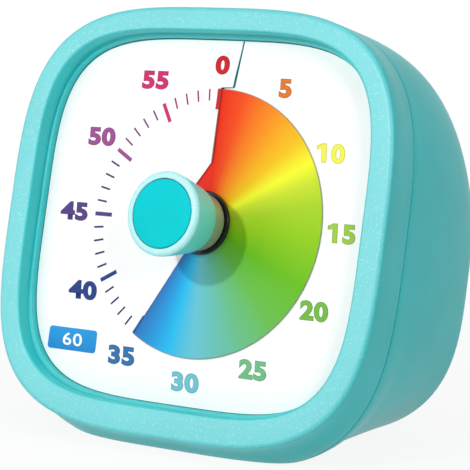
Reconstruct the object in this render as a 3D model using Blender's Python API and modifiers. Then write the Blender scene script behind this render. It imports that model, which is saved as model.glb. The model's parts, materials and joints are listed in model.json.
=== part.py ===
# A sixty-minute visual timer: a mint casing whose face leans back, a white dial card with a rainbow disc
# that passes through a slit in the card, and a knob on a spindle that a small clock movement turns.
# Everything is modelled in the face frame, whose origin is on the card at the middle of the casing:
# x to the right, y up the card and z out of the card towards the viewer.

import math

import bmesh
import bpy
from mathutils import Matrix, Vector

MM = 0.001

# Stance
FACE_TILT = math.radians(13.0)
BAND_CLEARANCE = 5.0 * MM
DIAL_OFFSET = 2.4 * MM
OUTLINE_POINTS = 48
FIT_GAP = 0.3 * MM

# Front shell
FRONT_PLANE = 7.6 * MM
WINDOW_HALF_WIDTH = 61.5 * MM
WINDOW_HALF_HEIGHT = 58.4 * MM
WINDOW_RISE = 0.3 * MM
WINDOW_POWER = 4.0
WINDOW_ROUND = 1.0 * MM
BAND_SIDE = 8.2 * MM
BAND_TOP = 7.6 * MM
BAND_BOTTOM = 9.4 * MM
BAND_ROUND = 1.5 * MM
BAND_POWER = 3.5
LEDGE_HEIGHT = 2.3 * MM
LEDGE_WIDTH = 1.2 * MM
SHELL_WALL = 2.2 * MM
FLOOR_THICKNESS = 2.0 * MM

# Seam between the shells
SEAM_DEPTH = 7.0 * MM
SEAM_SIDE_DRAFT = 0.6 * MM
SEAM_TOP_RISE = 0.9 * MM
SEAM_BOTTOM_DROP = 5.0 * MM
SEAM_POWER = 3.3
SEAM_GAP = 0.35 * MM
TONGUE_DEPTH = 3.0 * MM
TONGUE_THICKNESS = 1.1 * MM

# Rear shell
REAR_DEPTH = 54.5 * MM
REAR_SIDE_TAPER = 4.0 * MM
REAR_TOP_DROP = 33.0 * MM
REAR_POWER = 3.1
REAR_ROUND = 7.0 * MM
BASE_OVERCUT = 1.6 * MM
BASE_LEAD_IN = 11.0 * MM

# Card and disc
CARD_THICKNESS = 0.3 * MM
CARD_HUB_RADIUS = 10.8 * MM
NOTCH_TOP = 19.3 * MM
NOTCH_ANGLE = math.radians(52.0)
SLIT_HALF = math.radians(0.35)
SLIT_JOG = math.radians(7.3)
JOG_MARGIN = 0.4 * MM
JOG_LENGTH = 0.4 * MM
JOG_SPREAD = math.radians(25.0)
CARD_EDGE_SHARE = 0.2
CARD_COLUMNS = 48
DISC_RADIUS = 42.0 * MM
DISC_BORE = 2.6 * MM
DISC_CUT = math.radians(0.6)
DISC_COLUMNS = 60
FILM_THICKNESS = 0.2 * MM
DISC_LIFT = 0.2 * MM
DISC_PITCH = 1.0 * MM
SHOWN_ANGLE = math.radians(210.0)

# Knob
SPINDLE_RADIUS = 2.0 * MM
RING_RADIUS = 10.0 * MM
RING_THICKNESS = 1.0 * MM
STEM_RADIUS = 7.7 * MM
KNOB_BACK = 10.1 * MM
KNOB_TOP = 24.0 * MM
KNOB_BACK_RADIUS = 10.5 * MM
KNOB_RIM_RADIUS = 12.95 * MM
KNOB_RIM_ROUND = 1.3 * MM
CAP_RADIUS = 10.4 * MM
CAP_THICKNESS = 0.9 * MM
CAP_POCKET = 1.3 * MM
KNOB_WEB = 2.0 * MM

# Movement
CASE_SIDE = 56.0 * MM
CASE_DEPTH = 17.0 * MM
CASE_LID = 3.0 * MM
CASE_WALL = 1.6 * MM
CASE_CORNER = 4.0 * MM
EAR_THICKNESS = 2.0 * MM
EAR_WIDTH = 9.0 * MM
BUSH_RADIUS = 3.6 * MM
ARBOR_RADIUS = 0.8 * MM
PIVOT_DEPTH = 0.9 * MM
GEAR_THICKNESS = 1.5 * MM
GEAR_SPACING = 2.6 * MM
PINION_LENGTH = 1.9 * MM
OUTPUT_TEETH, OUTPUT_PINION, OUTPUT_MODULE = 36, 9, 0.7 * MM
THIRD_TEETH, THIRD_PINION, THIRD_MODULE = 30, 10, 0.6 * MM
SECOND_TEETH, SECOND_PINION, SECOND_MODULE = 24, 8, 0.6 * MM
TOOTH_BACKLASH = 0.18 * MM
TOOTH_TIP = 0.8
TOOTH_ROOT = 1.15
TOOTH_SLOPE = math.tan(math.radians(24.0))
GEAR_CLEARANCE = 0.15 * MM
THIRD_DIRECTION = math.radians(-60.0)
TRAIN_DIRECTION = math.radians(180.0)
MAGNET_RADIUS = 3.4 * MM
MAGNET_LENGTH = 2.4 * MM
MAGNET_DROP = 0.6 * MM
STATOR_THICKNESS = 1.2 * MM
STATOR_HOLE = 4.2 * MM
STATOR_BAND = 3.5 * MM
STATOR_WIDTH = 15.5 * MM
STATOR_TOP = 17.0 * MM
STATOR_FOOT = 6.0 * MM
STATOR_POST = 1.2 * MM
BOBBIN_LENGTH = 18.5 * MM
BOBBIN_WIDTH = 8.9 * MM
BOBBIN_DEPTH = 5.2 * MM
BOBBIN_WALL = 0.6 * MM
FLANGE_THICKNESS = 1.1 * MM
CAM_RADIUS = 8.0 * MM
CAM_THICKNESS = 1.2 * MM
CAM_NOTCH = 1.6 * MM
LEAF_WIDTH = 5.0 * MM
LEAF_LENGTH = 11.0 * MM
LEAF_THICKNESS = 0.5 * MM

# Battery
BATTERY_RADIUS = 7.1 * MM
BATTERY_LENGTH = 49.3 * MM
BATTERY_NUB_RADIUS = 2.6 * MM
BATTERY_NUB_LENGTH = 1.2 * MM
BATTERY_CENTRE_HEIGHT = -33.0 * MM
BAY_CLEARANCE = 0.5 * MM
BAY_WALL = 1.5 * MM
SPRING_LENGTH = 5.0 * MM
SPRING_TURNS = 4
SPRING_POINTS = 10
SPRING_WIRE = 0.6 * MM
SPRING_WIDE = 5.2 * MM
SPRING_NARROW = 3.8 * MM
CONTACT_THICKNESS = 0.5 * MM
CONTACT_SIDE = 12.0 * MM
DOOR_THICKNESS = 1.3 * MM
DOOR_LAP = 2.0 * MM
DOOR_CORNER = 3.0 * MM
DOOR_TAB_LENGTH = 8.0 * MM
DOOR_TAB_DEPTH = 2.0 * MM
DOOR_TAB_SPACING = 30.0 * MM
DOOR_RIBS = 3
DOOR_RIB_LENGTH = 14.0 * MM
DOOR_RIB_PITCH = 2.6 * MM
DOOR_RIB_HEIGHT = 0.6 * MM

# Switches, board and sounder
SWITCH_HEIGHT = -7.0 * MM
SWITCH_SPACING = 32.0 * MM
SLIDER_WIDTH = 6.0 * MM
SLIDER_HEIGHT = 4.4 * MM
SLIDER_PROUD = 1.2 * MM
VOLUME_TRAVEL = 6.0 * MM
DURATION_TRAVEL = 3.0 * MM
BOARD_WIDTH = 62.0 * MM
BOARD_HEIGHT = 15.0 * MM
BOARD_THICKNESS = 1.2 * MM
BOARD_POST_SPACING = 54.0 * MM
BOARD_POST_RADIUS = 2.4 * MM
SWITCH_BODY_DEPTH = 3.6 * MM
SWITCH_BODY_WALL = 1.2 * MM
SLIDER_SEAT = 1.5 * MM
SOUNDER_HEIGHT = 13.5 * MM
SOUNDER_RADIUS = 12.0 * MM
SOUNDER_DEPTH = 5.0 * MM
SOUNDER_HOLE = 1.5 * MM
SOUNDER_RING = 1.2 * MM
SOUNDER_RING_HEIGHT = 3.5 * MM
SOUND_SLOTS = 5
SOUND_SLOT_WIDTH = 1.4 * MM
SOUND_SLOT_PITCH = 3.2 * MM
SOUND_SLOT_LENGTH = 15.0 * MM

# Fasteners
SCREW_ACROSS = 42.0 * MM
SCREW_UP = 14.0 * MM
SCREW_DOWN = 36.0 * MM
BOSS_RADIUS = 3.6 * MM
BOSS_LENGTH = 8.0 * MM
POST_RADIUS = 4.6 * MM
POST_BORE = 3.3 * MM
POST_WEB = 2.0 * MM
SCREW_RADIUS = 1.2 * MM
SCREW_HEAD_RADIUS = 2.7 * MM
SCREW_HEAD_HEIGHT = 1.8 * MM
SCREW_LENGTH = 9.0 * MM
SMALL_SCREW_RADIUS = 0.9 * MM
SMALL_HEAD_RADIUS = 2.0 * MM
SMALL_HEAD_HEIGHT = 1.2 * MM
SMALL_SCREW_LENGTH = 3.9 * MM
THREAD_GAP = 0.15 * MM

# Worked out from the sizes above
WIDEST = FRONT_PLANE - BAND_ROUND
BAND_REACH = WINDOW_HALF_HEIGHT + BAND_BOTTOM - WINDOW_RISE
HUB_HEIGHT = (BAND_REACH + BAND_CLEARANCE) * math.cos(FACE_TILT) - WIDEST * math.sin(FACE_TILT)
SEAM = -SEAM_DEPTH
BAND_INSIDE = WIDEST - SHELL_WALL
REAR_FACE = SEAM - REAR_DEPTH
REAR_INSIDE = REAR_FACE + SHELL_WALL
RISE_PER_RADIAN = DISC_PITCH / math.tau
DISC_LOWEST = DISC_LIFT - DISC_PITCH
RECESS_FLOOR = DISC_LOWEST - FIT_GAP
FLOOR_FRONT = -CARD_THICKNESS - FIT_GAP
FLOOR_BACK = RECESS_FLOOR - FLOOR_THICKNESS
RECESS_RADIUS = DISC_RADIUS + 1.2 * MM
RING_BACK = DISC_LIFT + DISC_PITCH + FILM_THICKNESS + FIT_GAP
STEM_BACK = RING_BACK + RING_THICKNESS + FIT_GAP
CASE_FRONT = FLOOR_BACK - FIT_GAP
CASE_BACK = CASE_FRONT - CASE_DEPTH
LID_BACK = CASE_BACK - FIT_GAP - CASE_LID
CAM_FRONT = LID_BACK - FIT_GAP
FIRST_LAYER = CASE_FRONT - CASE_WALL - FIT_GAP - PINION_LENGTH / 2 - FIT_GAP / 2
SECOND_LAYER = FIRST_LAYER - GEAR_SPACING
THIRD_LAYER = SECOND_LAYER - GEAR_SPACING
MAGNET_LAYER = THIRD_LAYER - GEAR_SPACING - MAGNET_DROP
WEB_BACK = KNOB_TOP - CAP_POCKET - KNOB_WEB
STEM_TOP = WEB_BACK - FIT_GAP
POST_FRONT = FLOOR_BACK - BOSS_LENGTH - FIT_GAP
BATTERY_DEPTH = REAR_FACE + DOOR_THICKNESS + FIT_GAP + BAY_CLEARANCE + BATTERY_RADIUS
BAY_FRONT = BATTERY_DEPTH + BATTERY_RADIUS + BAY_CLEARANCE
BAY_HEIGHT = 2 * (BATTERY_RADIUS + BAY_CLEARANCE)
BAY_LENGTH = 2 * CONTACT_THICKNESS + SPRING_LENGTH + BATTERY_LENGTH + BATTERY_NUB_LENGTH + 5 * FIT_GAP
SWITCH_BODY_BACK = REAR_INSIDE + 2 * FIT_GAP
BOARD_BACK = SWITCH_BODY_BACK + SWITCH_BODY_DEPTH + FIT_GAP
BOARD_FRONT = BOARD_BACK + BOARD_THICKNESS


def clear_scene():
    for old in list(bpy.data.objects):
        bpy.data.objects.remove(old, do_unlink=True)


def make_collection(name):
    found = bpy.data.collections.new(name)
    bpy.context.scene.collection.children.link(found)
    return found


def material(name, colour, roughness=0.5, metallic=0.0):
    found = bpy.data.materials.get(name)
    if found is None:
        found = bpy.data.materials.new(name)
        found.use_nodes = True
        shader = found.node_tree.nodes["Principled BSDF"]
        shader.inputs["Base Color"].default_value = (*colour, 1.0)
        shader.inputs["Roughness"].default_value = roughness
        shader.inputs["Metallic"].default_value = metallic
    return found


def mint():
    return material("mint_plastic", (0.10, 0.64, 0.62), 0.45)


def cyan():
    return material("cyan_plastic", (0.0, 0.62, 0.66), 0.4)


def white_plastic():
    return material("white_plastic", (0.85, 0.85, 0.84), 0.5)


def white_card():
    return material("white_card", (0.88, 0.88, 0.87), 0.6)


def printed_film():
    return material("printed_film", (0.85, 0.65, 0.1), 0.35)


def black_plastic():
    return material("black_plastic", (0.02, 0.02, 0.022), 0.35)


def battery_sleeve():
    return material("battery_sleeve", (0.12, 0.13, 0.15), 0.3)


def board_green():
    return material("board_green", (0.03, 0.22, 0.08), 0.4)


def copper():
    return material("copper_wire", (0.7, 0.3, 0.14), 0.35, 1.0)


def steel():
    return material("steel", (0.6, 0.6, 0.6), 0.3, 1.0)


def brass():
    return material("brass", (0.78, 0.57, 0.23), 0.35, 1.0)


def add_object(name, mesh, finish, parent, place=(0, 0, 0)):
    made = bpy.data.objects.new(name, mesh)
    parts.objects.link(made)
    made.parent = parent
    made.location = place
    mesh.materials.append(finish)
    return made


def mesh_from(name, bm):
    bmesh.ops.recalc_face_normals(bm, faces=bm.faces)
    mesh = bpy.data.meshes.new(name)
    bm.to_mesh(mesh)
    bm.free()
    mesh.shade_smooth()
    mesh.set_sharp_from_angle(angle=math.radians(35))
    return mesh


def superellipse(half_width, half_height, mid, power, depth, count=OUTLINE_POINTS):
    """One ring of points round a rounded-square outline at this depth of the face frame."""
    ring = []
    for step in range(count):
        turn = math.tau * step / count
        across, up = math.cos(turn), math.sin(turn)
        x = math.copysign(abs(across) ** (2 / power), across) * half_width
        y = math.copysign(abs(up) ** (2 / power), up) * half_height + mid
        ring.append(Vector((x, y, depth)))
    return ring


def loft_mesh(name, rings, closed=False, open_start=False):
    """Skins rings of equal point counts. Closed joins the last ring to the first; otherwise the ends are
    capped, but the first may stay open."""
    bm = bmesh.new()
    rows = [[bm.verts.new(point) for point in ring] for ring in rings]
    count = len(rings[0])
    pairs = list(zip(rows, rows[1:]))
    if closed:
        pairs.append((rows[-1], rows[0]))
    for lower, upper in pairs:
        for i in range(count):
            j = (i + 1) % count
            bm.faces.new((lower[i], lower[j], upper[j], upper[i]))
    if not closed:
        bm.faces.new(rows[-1])
    if not closed and not open_start:
        bm.faces.new(rows[0])
    return mesh_from(name, bm)


def block_mesh(name, x_span, y_span, z_span):
    """A box between limits on each axis."""
    low = Vector((x_span[0], y_span[0], z_span[0]))
    high = Vector((x_span[1], y_span[1], z_span[1]))
    bm = bmesh.new()
    place = Matrix.Translation((low + high) / 2) @ Matrix.Diagonal((*(high - low), 1.0))
    bmesh.ops.create_cube(bm, size=1.0, matrix=place)
    return mesh_from(name, bm)


def column_mesh(name, radius, low, high, centre=(0, 0), segments=24):
    """A plain cylinder along z, from one depth to another."""
    bm = bmesh.new()
    bmesh.ops.create_cone(
        bm,
        cap_ends=True,
        segments=segments,
        radius1=radius,
        radius2=radius,
        depth=high - low,
        matrix=Matrix.Translation((centre[0], centre[1], (low + high) / 2)),
    )
    return mesh_from(name, bm)


def prism_mesh(name, outline, low, high):
    """A flat outline carried from one depth to another."""
    return loft_mesh(name, [[Vector((x, y, z)) for x, y in outline] for z in (low, high)])


def turned(name, profile, finish, parent, place=(0, 0, 0), steps=32, ring=False):
    """A profile of (radius, height) points, down its outer side, turned about z by a Screw modifier."""
    mesh = bpy.data.meshes.new(name)
    edges = [(i, i + 1) for i in range(len(profile) - 1)]
    if ring:
        edges.append((len(profile) - 1, 0))
    mesh.from_pydata([(r, 0, z) for r, z in profile], edges, [])
    made = add_object(name, mesh, finish, parent, place)
    screw = made.modifiers.new("Turn", "SCREW")
    screw.steps = screw.render_steps = steps
    screw.use_merge_vertices = True
    screw.merge_threshold = 0.00001
    screw.use_smooth_shade = True
    return apply_modifiers(made)


def thicken(made, thickness, offset):
    """Gives an open surface a thickness, behind it for an offset of -1 and in front of it for 1."""
    modifier = made.modifiers.new("Thickness", "SOLIDIFY")
    modifier.thickness = thickness
    modifier.offset = offset
    modifier.use_even_offset = True
    return apply_modifiers(made)


def soften(made, width, segments=2):
    """Rounds a block's edges."""
    modifier = made.modifiers.new("Round", "BEVEL")
    modifier.width = width
    modifier.segments = segments
    return apply_modifiers(made)


def welded(mesh):
    """The same mesh with near points merged and its faces pointing out."""
    bm = bmesh.new()
    bm.from_mesh(mesh)
    bmesh.ops.remove_doubles(bm, verts=bm.verts, dist=0.000001)
    bmesh.ops.recalc_face_normals(bm, faces=bm.faces)
    bm.to_mesh(mesh)
    bm.free()
    mesh.shade_smooth()
    mesh.set_sharp_from_angle(angle=math.radians(35))
    return mesh


def apply_modifiers(made):
    """Turns the evaluated object into its plain mesh."""
    bpy.context.view_layer.update()
    graph = bpy.context.evaluated_depsgraph_get()
    plain = bpy.data.meshes.new_from_object(made.evaluated_get(graph))
    made.modifiers.clear()
    old = made.data
    made.data = welded(plain)
    if old.users == 0:
        bpy.data.meshes.remove(old)
    return made


def from_curve(name, curve, finish, parent, place=(0, 0, 0)):
    """The solid of a curve object, as a mesh object."""
    drawn = bpy.data.objects.new(name + "_curve", curve)
    parts.objects.link(drawn)
    bpy.context.view_layer.update()
    graph = bpy.context.evaluated_depsgraph_get()
    mesh = bpy.data.meshes.new_from_object(drawn.evaluated_get(graph))
    bpy.data.objects.remove(drawn, do_unlink=True)
    mesh.materials.clear()
    return add_object(name, welded(mesh), finish, parent, place)


def plate(name, outlines, thickness, finish, parent, place=(0, 0, 0)):
    """A flat outline, with any holes as further outlines, made solid about its own plane."""
    curve = bpy.data.curves.new(name, "CURVE")
    curve.dimensions = "2D"
    curve.fill_mode = "BOTH"
    curve.extrude = thickness / 2
    for outline in outlines:
        spline = curve.splines.new("POLY")
        spline.points.add(len(outline) - 1)
        for point, (x, y) in zip(spline.points, outline):
            point.co = (x, y, 0, 1)
        spline.use_cyclic_u = True
    return from_curve(name, curve, finish, parent, place)


def circle(radius, segments=24, centre=(0, 0)):
    turns = [math.tau * i / segments for i in range(segments)]
    return [(centre[0] + radius * math.cos(t), centre[1] + radius * math.sin(t)) for t in turns]


def rectangle(left, bottom, right, top):
    return [(left, bottom), (right, bottom), (right, top), (left, top)]


def rounded_rectangle(width, height, radius, centre=(0, 0), steps=4):
    points = []
    for quarter, (side_x, side_y) in enumerate(((1, 1), (-1, 1), (-1, -1), (1, -1))):
        for step in range(steps + 1):
            turn = math.pi / 2 * (quarter + step / steps)
            x = centre[0] + side_x * (width / 2 - radius) + radius * math.cos(turn)
            y = centre[1] + side_y * (height / 2 - radius) + radius * math.sin(turn)
            points.append((x, y))
    return points


def join_solid(target, mesh, operation="UNION"):
    """Joins a solid to the target, or cuts it away, given as a mesh in the target's own frame."""
    other = bpy.data.objects.new(target.name + "_" + operation.lower(), mesh)
    cutters.objects.link(other)
    other.parent = target.parent
    other.location = target.location
    other.rotation_euler = target.rotation_euler
    other.hide_render = True
    other.display_type = "WIRE"
    modifier = target.modifiers.new(operation.title(), "BOOLEAN")
    modifier.operation = operation
    modifier.object = other
    apply_modifiers(target)
    bpy.data.objects.remove(other, do_unlink=True)


def cut(target, mesh):
    join_solid(target, mesh, "DIFFERENCE")


def ease(t):
    t = min(max(t, 0.0), 1.0)
    return t * t * (3 - 2 * t)


def mix(a, b, t):
    return a + (b - a) * t


# Outlines that the shells share. Each is (half width, bottom, top, power).


def window_outline(grow=0.0):
    return (
        WINDOW_HALF_WIDTH + grow,
        WINDOW_RISE - WINDOW_HALF_HEIGHT - grow,
        WINDOW_RISE + WINDOW_HALF_HEIGHT + grow,
        WINDOW_POWER,
    )


def band_outline(shrink=0.0):
    return (
        WINDOW_HALF_WIDTH + BAND_SIDE - shrink,
        WINDOW_RISE - WINDOW_HALF_HEIGHT - BAND_BOTTOM + shrink,
        WINDOW_RISE + WINDOW_HALF_HEIGHT + BAND_TOP - shrink,
        BAND_POWER,
    )


def seam_outline(shrink=0.0):
    half, bottom, top, _ = band_outline()
    return (
        half - SEAM_SIDE_DRAFT - shrink,
        bottom - SEAM_BOTTOM_DROP + shrink,
        top + SEAM_TOP_RISE - shrink,
        SEAM_POWER,
    )


def between(first, second, t):
    return tuple(mix(a, b, t) for a, b in zip(first, second))


def shrunk(outline, by):
    half, bottom, top, power = outline
    return (half - by, bottom + by, top - by, power)


def ring_of(outline, depth):
    half, bottom, top, power = outline
    return superellipse(half, (top - bottom) / 2, (top + bottom) / 2, power, depth)


def front_inside(depth):
    """The inside of the front shell's outer wall."""
    share = (depth - SEAM) / (BAND_INSIDE - SEAM)
    return between(seam_outline(SHELL_WALL), band_outline(SHELL_WALL + SEAM_SIDE_DRAFT), share)


def floor_line(depth):
    """The height on the face, at this depth, of the flat surface that the timer stands on."""
    return -(HUB_HEIGHT + depth * math.sin(FACE_TILT)) / math.cos(FACE_TILT)


def on_floor(ring, above=0.0):
    """The ring with whatever reaches below the floor, or below this height over it, cut flat."""
    return [Vector((p.x, max(p.y, floor_line(p.z) + above), p.z)) for p in ring]


def front_shell():
    """Casing front: outer wall, band, window throat, ledge and the floor that carries the card."""
    throat_top = FRONT_PLANE - WINDOW_ROUND
    rings = [ring_of(window_outline(-LEDGE_WIDTH), FLOOR_FRONT)]
    rings.append(ring_of(window_outline(-LEDGE_WIDTH), LEDGE_HEIGHT))
    rings.append(ring_of(window_outline(), LEDGE_HEIGHT))
    for turn in (0, 45, 90):
        t = math.radians(turn)
        grow = WINDOW_ROUND * (1 - math.cos(t))
        rings.append(ring_of(window_outline(grow), throat_top + WINDOW_ROUND * math.sin(t)))
    for turn in (90, 60, 30, 0):
        t = math.radians(turn)
        shrink = BAND_ROUND * (1 - math.cos(t))
        rings.append(ring_of(band_outline(shrink), WIDEST + BAND_ROUND * math.sin(t)))
    for share in (0.35, 0.7, 1.0):
        outline = between(band_outline(), seam_outline(), ease(share))
        rings.append(ring_of(outline, mix(WIDEST, SEAM, share)))
    rings = [on_floor(ring) for ring in rings]
    for depth in (SEAM, SEAM + TONGUE_DEPTH, BAND_INSIDE):
        rings.append(on_floor(ring_of(front_inside(depth), depth), SHELL_WALL))
    rings.append(ring_of(window_outline(SHELL_WALL - LEDGE_WIDTH), BAND_INSIDE))
    rings.append(ring_of(window_outline(SHELL_WALL - LEDGE_WIDTH), FLOOR_BACK))
    shell = add_object("front_shell", loft_mesh("front_shell", rings), mint(), face)
    hub_place = (DIAL_OFFSET, 0)
    cut(shell, column_mesh("recess", RECESS_RADIUS, RECESS_FLOOR, 0, hub_place, 72))
    cut(shell, column_mesh("hub_hole", BUSH_RADIUS + FIT_GAP, FLOOR_BACK - MM, 0, hub_place))
    boss_back = FLOOR_BACK - BOSS_LENGTH
    pilot_top = FLOOR_BACK - 1.0 * MM
    for place in shell_screw_places():
        join_solid(shell, column_mesh("boss", BOSS_RADIUS, boss_back, FLOOR_BACK + MM, place, 16))
        pilot = column_mesh("pilot", SCREW_RADIUS + THREAD_GAP, boss_back - MM, pilot_top, place, 12)
        cut(shell, pilot)
    for place in ear_screw_places():
        top = FLOOR_BACK + FLOOR_THICKNESS - 0.4 * MM
        pilot = column_mesh("pilot", SMALL_SCREW_RADIUS + THREAD_GAP, FLOOR_BACK - MM, top, place, 12)
        cut(shell, pilot)


def shell_screw_places():
    return [(x, y) for x in (-SCREW_ACROSS, SCREW_ACROSS) for y in (-SCREW_DOWN, SCREW_UP)]


def ear_screw_places():
    reach = CASE_SIDE / 2 + SMALL_HEAD_RADIUS + 0.6 * MM
    return [(DIAL_OFFSET - reach, 0), (DIAL_OFFSET + reach, 0)]


def rear_outline(depth):
    """The rear shell's outline at a depth behind the seam, before its back edge is rounded."""
    half, bottom, top, power = seam_outline()
    share = (SEAM - depth) / REAR_DEPTH
    lead = 1 - ease((SEAM - depth) / BASE_LEAD_IN)
    base = floor_line(depth) - BASE_OVERCUT
    return (
        half - REAR_SIDE_TAPER * share**2.5,
        mix(base, bottom, lead),
        top - REAR_TOP_DROP * share**4,
        mix(power, REAR_POWER, share),
    )


def rear_shell():
    """Casing back: a tapering cup with a flat base, a tongue at the seam and what its walls carry."""
    round_start = REAR_FACE + REAR_ROUND
    start = SEAM - SEAM_GAP
    depths = [mix(start, round_start, t) for t in (0, 0.1, 0.2, 0.4, 0.6, 0.8, 1)]
    rings = [ring_of(rear_outline(d), d) for d in depths]
    for turn in (30, 60, 90):
        t = math.radians(turn)
        depth = round_start - REAR_ROUND * math.sin(t)
        rings.append(ring_of(shrunk(rear_outline(depth), REAR_ROUND * (1 - math.cos(t))), depth))
    cup = loft_mesh("rear_shell", [on_floor(ring) for ring in rings], open_start=True)
    shell = add_object("rear_shell", cup, mint(), face)
    thicken(shell, SHELL_WALL, -1)
    reach = 2 * WINDOW_HALF_WIDTH
    cut(shell, block_mesh("rim", (-reach, reach), (-reach, reach), (start, start + SHELL_WALL)))
    join_solid(shell, tongue_mesh(start))
    for place in shell_screw_places():
        join_solid(shell, column_mesh("post", POST_RADIUS, REAR_FACE + MM, POST_FRONT, place, 20))
    bay_side = BAY_LENGTH / 2 + BAY_WALL
    bay_up = BAY_HEIGHT / 2 + BAY_WALL
    bay_outside = (BATTERY_CENTRE_HEIGHT - bay_up, BATTERY_CENTRE_HEIGHT + bay_up)
    join_solid(
        shell, block_mesh("bay", (-bay_side, bay_side), bay_outside, (REAR_FACE + MM, BAY_FRONT + BAY_WALL))
    )
    for side in (-1, 1):
        place = (side * BOARD_POST_SPACING / 2, SWITCH_HEIGHT)
        front = BOARD_BACK - FIT_GAP
        join_solid(shell, column_mesh("post", BOARD_POST_RADIUS, REAR_FACE + MM, front, place, 16))
        pilot = column_mesh("pilot", SMALL_SCREW_RADIUS + THREAD_GAP, front - 3.2 * MM, front + MM, place, 12)
        cut(shell, pilot)
    rear_shell_ring(shell)
    rear_shell_cuts(shell)


def tongue_mesh(start):
    """The lip that reaches into the front shell, with a foot inside the rear shell's wall."""
    tip = SEAM + TONGUE_DEPTH
    foot = start - 2 * TONGUE_THICKNESS
    outer_tip = shrunk(front_inside(tip), FIT_GAP)
    outer_root = shrunk(front_inside(SEAM), FIT_GAP)
    wall_middle = seam_outline(SHELL_WALL / 2)
    inner = shrunk(outer_tip, TONGUE_THICKNESS)
    outside = SHELL_WALL + 5 * FIT_GAP
    inside = outside + TONGUE_THICKNESS
    shape = [(inner, tip, inside), (outer_tip, tip, outside), (outer_root, start, outside)]
    shape += [(outer_root, start - FIT_GAP, outside), (wall_middle, start - FIT_GAP, SHELL_WALL / 2)]
    shape += [(wall_middle, foot, SHELL_WALL / 2), (inner, foot, inside)]
    rings = [on_floor(ring_of(outline, depth), above) for outline, depth, above in shape]
    return loft_mesh("tongue", rings, closed=True)


def rear_shell_ring(shell):
    """The ring on the back wall that holds the sounder."""
    centre = (0, SOUNDER_HEIGHT)
    inner = SOUNDER_RADIUS + FIT_GAP
    low, high = REAR_FACE + MM, REAR_INSIDE + SOUNDER_RING_HEIGHT
    join_solid(shell, column_mesh("ring", inner + SOUNDER_RING, low, high, centre, 32))
    cut(shell, column_mesh("ring_bore", inner, REAR_INSIDE, high + MM, centre, 32))


def rear_shell_cuts(shell):
    """Everything that opens on the flat back: screw bores, battery bay, switch slots and sound slots."""
    outside = REAR_FACE - MM
    for place in shell_screw_places():
        web_back = POST_FRONT - POST_WEB
        cut(shell, column_mesh("bore", POST_BORE, outside, web_back, place, 20))
        hole = column_mesh("hole", SCREW_RADIUS + THREAD_GAP, web_back - MM, POST_FRONT + MM, place, 12)
        cut(shell, hole)
    cavity = block_mesh(
        "cavity",
        (-BAY_LENGTH / 2, BAY_LENGTH / 2),
        (BATTERY_CENTRE_HEIGHT - BAY_HEIGHT / 2, BATTERY_CENTRE_HEIGHT + BAY_HEIGHT / 2),
        (outside, BAY_FRONT),
    )
    cut(shell, cavity)
    recess_floor = REAR_FACE + DOOR_THICKNESS + FIT_GAP
    cut(shell, prism_mesh("door_recess", door_outline(FIT_GAP), outside, recess_floor))
    for centre, travel in slider_slots():
        half_width = (SLIDER_WIDTH + travel) / 2 + FIT_GAP
        half_height = SLIDER_HEIGHT / 2 + FIT_GAP
        across = (centre - half_width, centre + half_width)
        upright = (SWITCH_HEIGHT - half_height, SWITCH_HEIGHT + half_height)
        cut(shell, block_mesh("slot", across, upright, (outside, REAR_INSIDE + MM)))
    for i in range(SOUND_SLOTS):
        y = SOUNDER_HEIGHT + (i - (SOUND_SLOTS - 1) / 2) * SOUND_SLOT_PITCH
        upright = (y - SOUND_SLOT_WIDTH / 2, y + SOUND_SLOT_WIDTH / 2)
        across = (-SOUND_SLOT_LENGTH / 2, SOUND_SLOT_LENGTH / 2)
        cut(shell, block_mesh("sound_slot", across, upright, (outside, REAR_INSIDE + MM)))


def slider_slots():
    """Where each slider's slot has its middle, and how far the slider moves in it."""
    return [(-SWITCH_SPACING / 2, VOLUME_TRAVEL), (SWITCH_SPACING / 2 + DURATION_TRAVEL / 2, DURATION_TRAVEL)]


def door_outline(grow=0.0):
    margin = 2 * (DOOR_LAP - FIT_GAP + grow)
    centre = (0, BATTERY_CENTRE_HEIGHT)
    return rounded_rectangle(BAY_LENGTH + margin, BAY_HEIGHT + margin, DOOR_CORNER + grow, centre)


def sheet_mesh(name, columns):
    """An open surface through columns of points that run outwards, one column after another clockwise."""
    bm = bmesh.new()
    rows = [[bm.verts.new(point) for point in column] for column in columns]
    for first, second in zip(rows, rows[1:]):
        for i in range(len(first) - 1):
            bm.faces.new((first[i], second[i], second[i + 1], first[i + 1]))
    mesh = bpy.data.meshes.new(name)
    bm.to_mesh(mesh)
    bm.free()
    return mesh


def dial_point(turn, radius, height):
    """A point on the dial, by its angle clockwise from twelve o'clock."""
    return Vector((radius * math.sin(turn), radius * math.cos(turn), height))


def card_reach(turn):
    """How far the card reaches from the hub at this angle, found by halving."""
    half, bottom, top, power = window_outline(-LEDGE_WIDTH - FIT_GAP)
    low, high = 0.0, 2 * half
    while high - low > FIT_GAP / 1000:
        middle = (low + high) / 2
        x = DIAL_OFFSET + middle * math.sin(turn)
        y = middle * math.cos(turn) - (top + bottom) / 2
        inside = abs(x / half) ** power + abs(2 * y / (top - bottom)) ** power < 1
        low, high = (middle, high) if inside else (low, middle)
    return low


def card_inner(turn):
    """The card's edge round the hub, which a straight cut opens towards the slit on the flap's side."""
    before = math.tau - turn
    if before > NOTCH_ANGLE:
        return CARD_HUB_RADIUS
    start = dial_point(0, NOTCH_TOP, 0)
    along = dial_point(-NOTCH_ANGLE, CARD_HUB_RADIUS, 0) - start
    ray = dial_point(turn, 1, 0)
    return start.cross(along).z / ray.cross(along).z


def card_height(turn, radius):
    """The card climbs one disc pitch in a turn near the disc, and less towards its outer edge."""
    share = mix(1, CARD_EDGE_SHARE, ease((radius - RECESS_RADIUS) / (RECESS_RADIUS / 3)))
    return RISE_PER_RADIAN * turn * share


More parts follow.
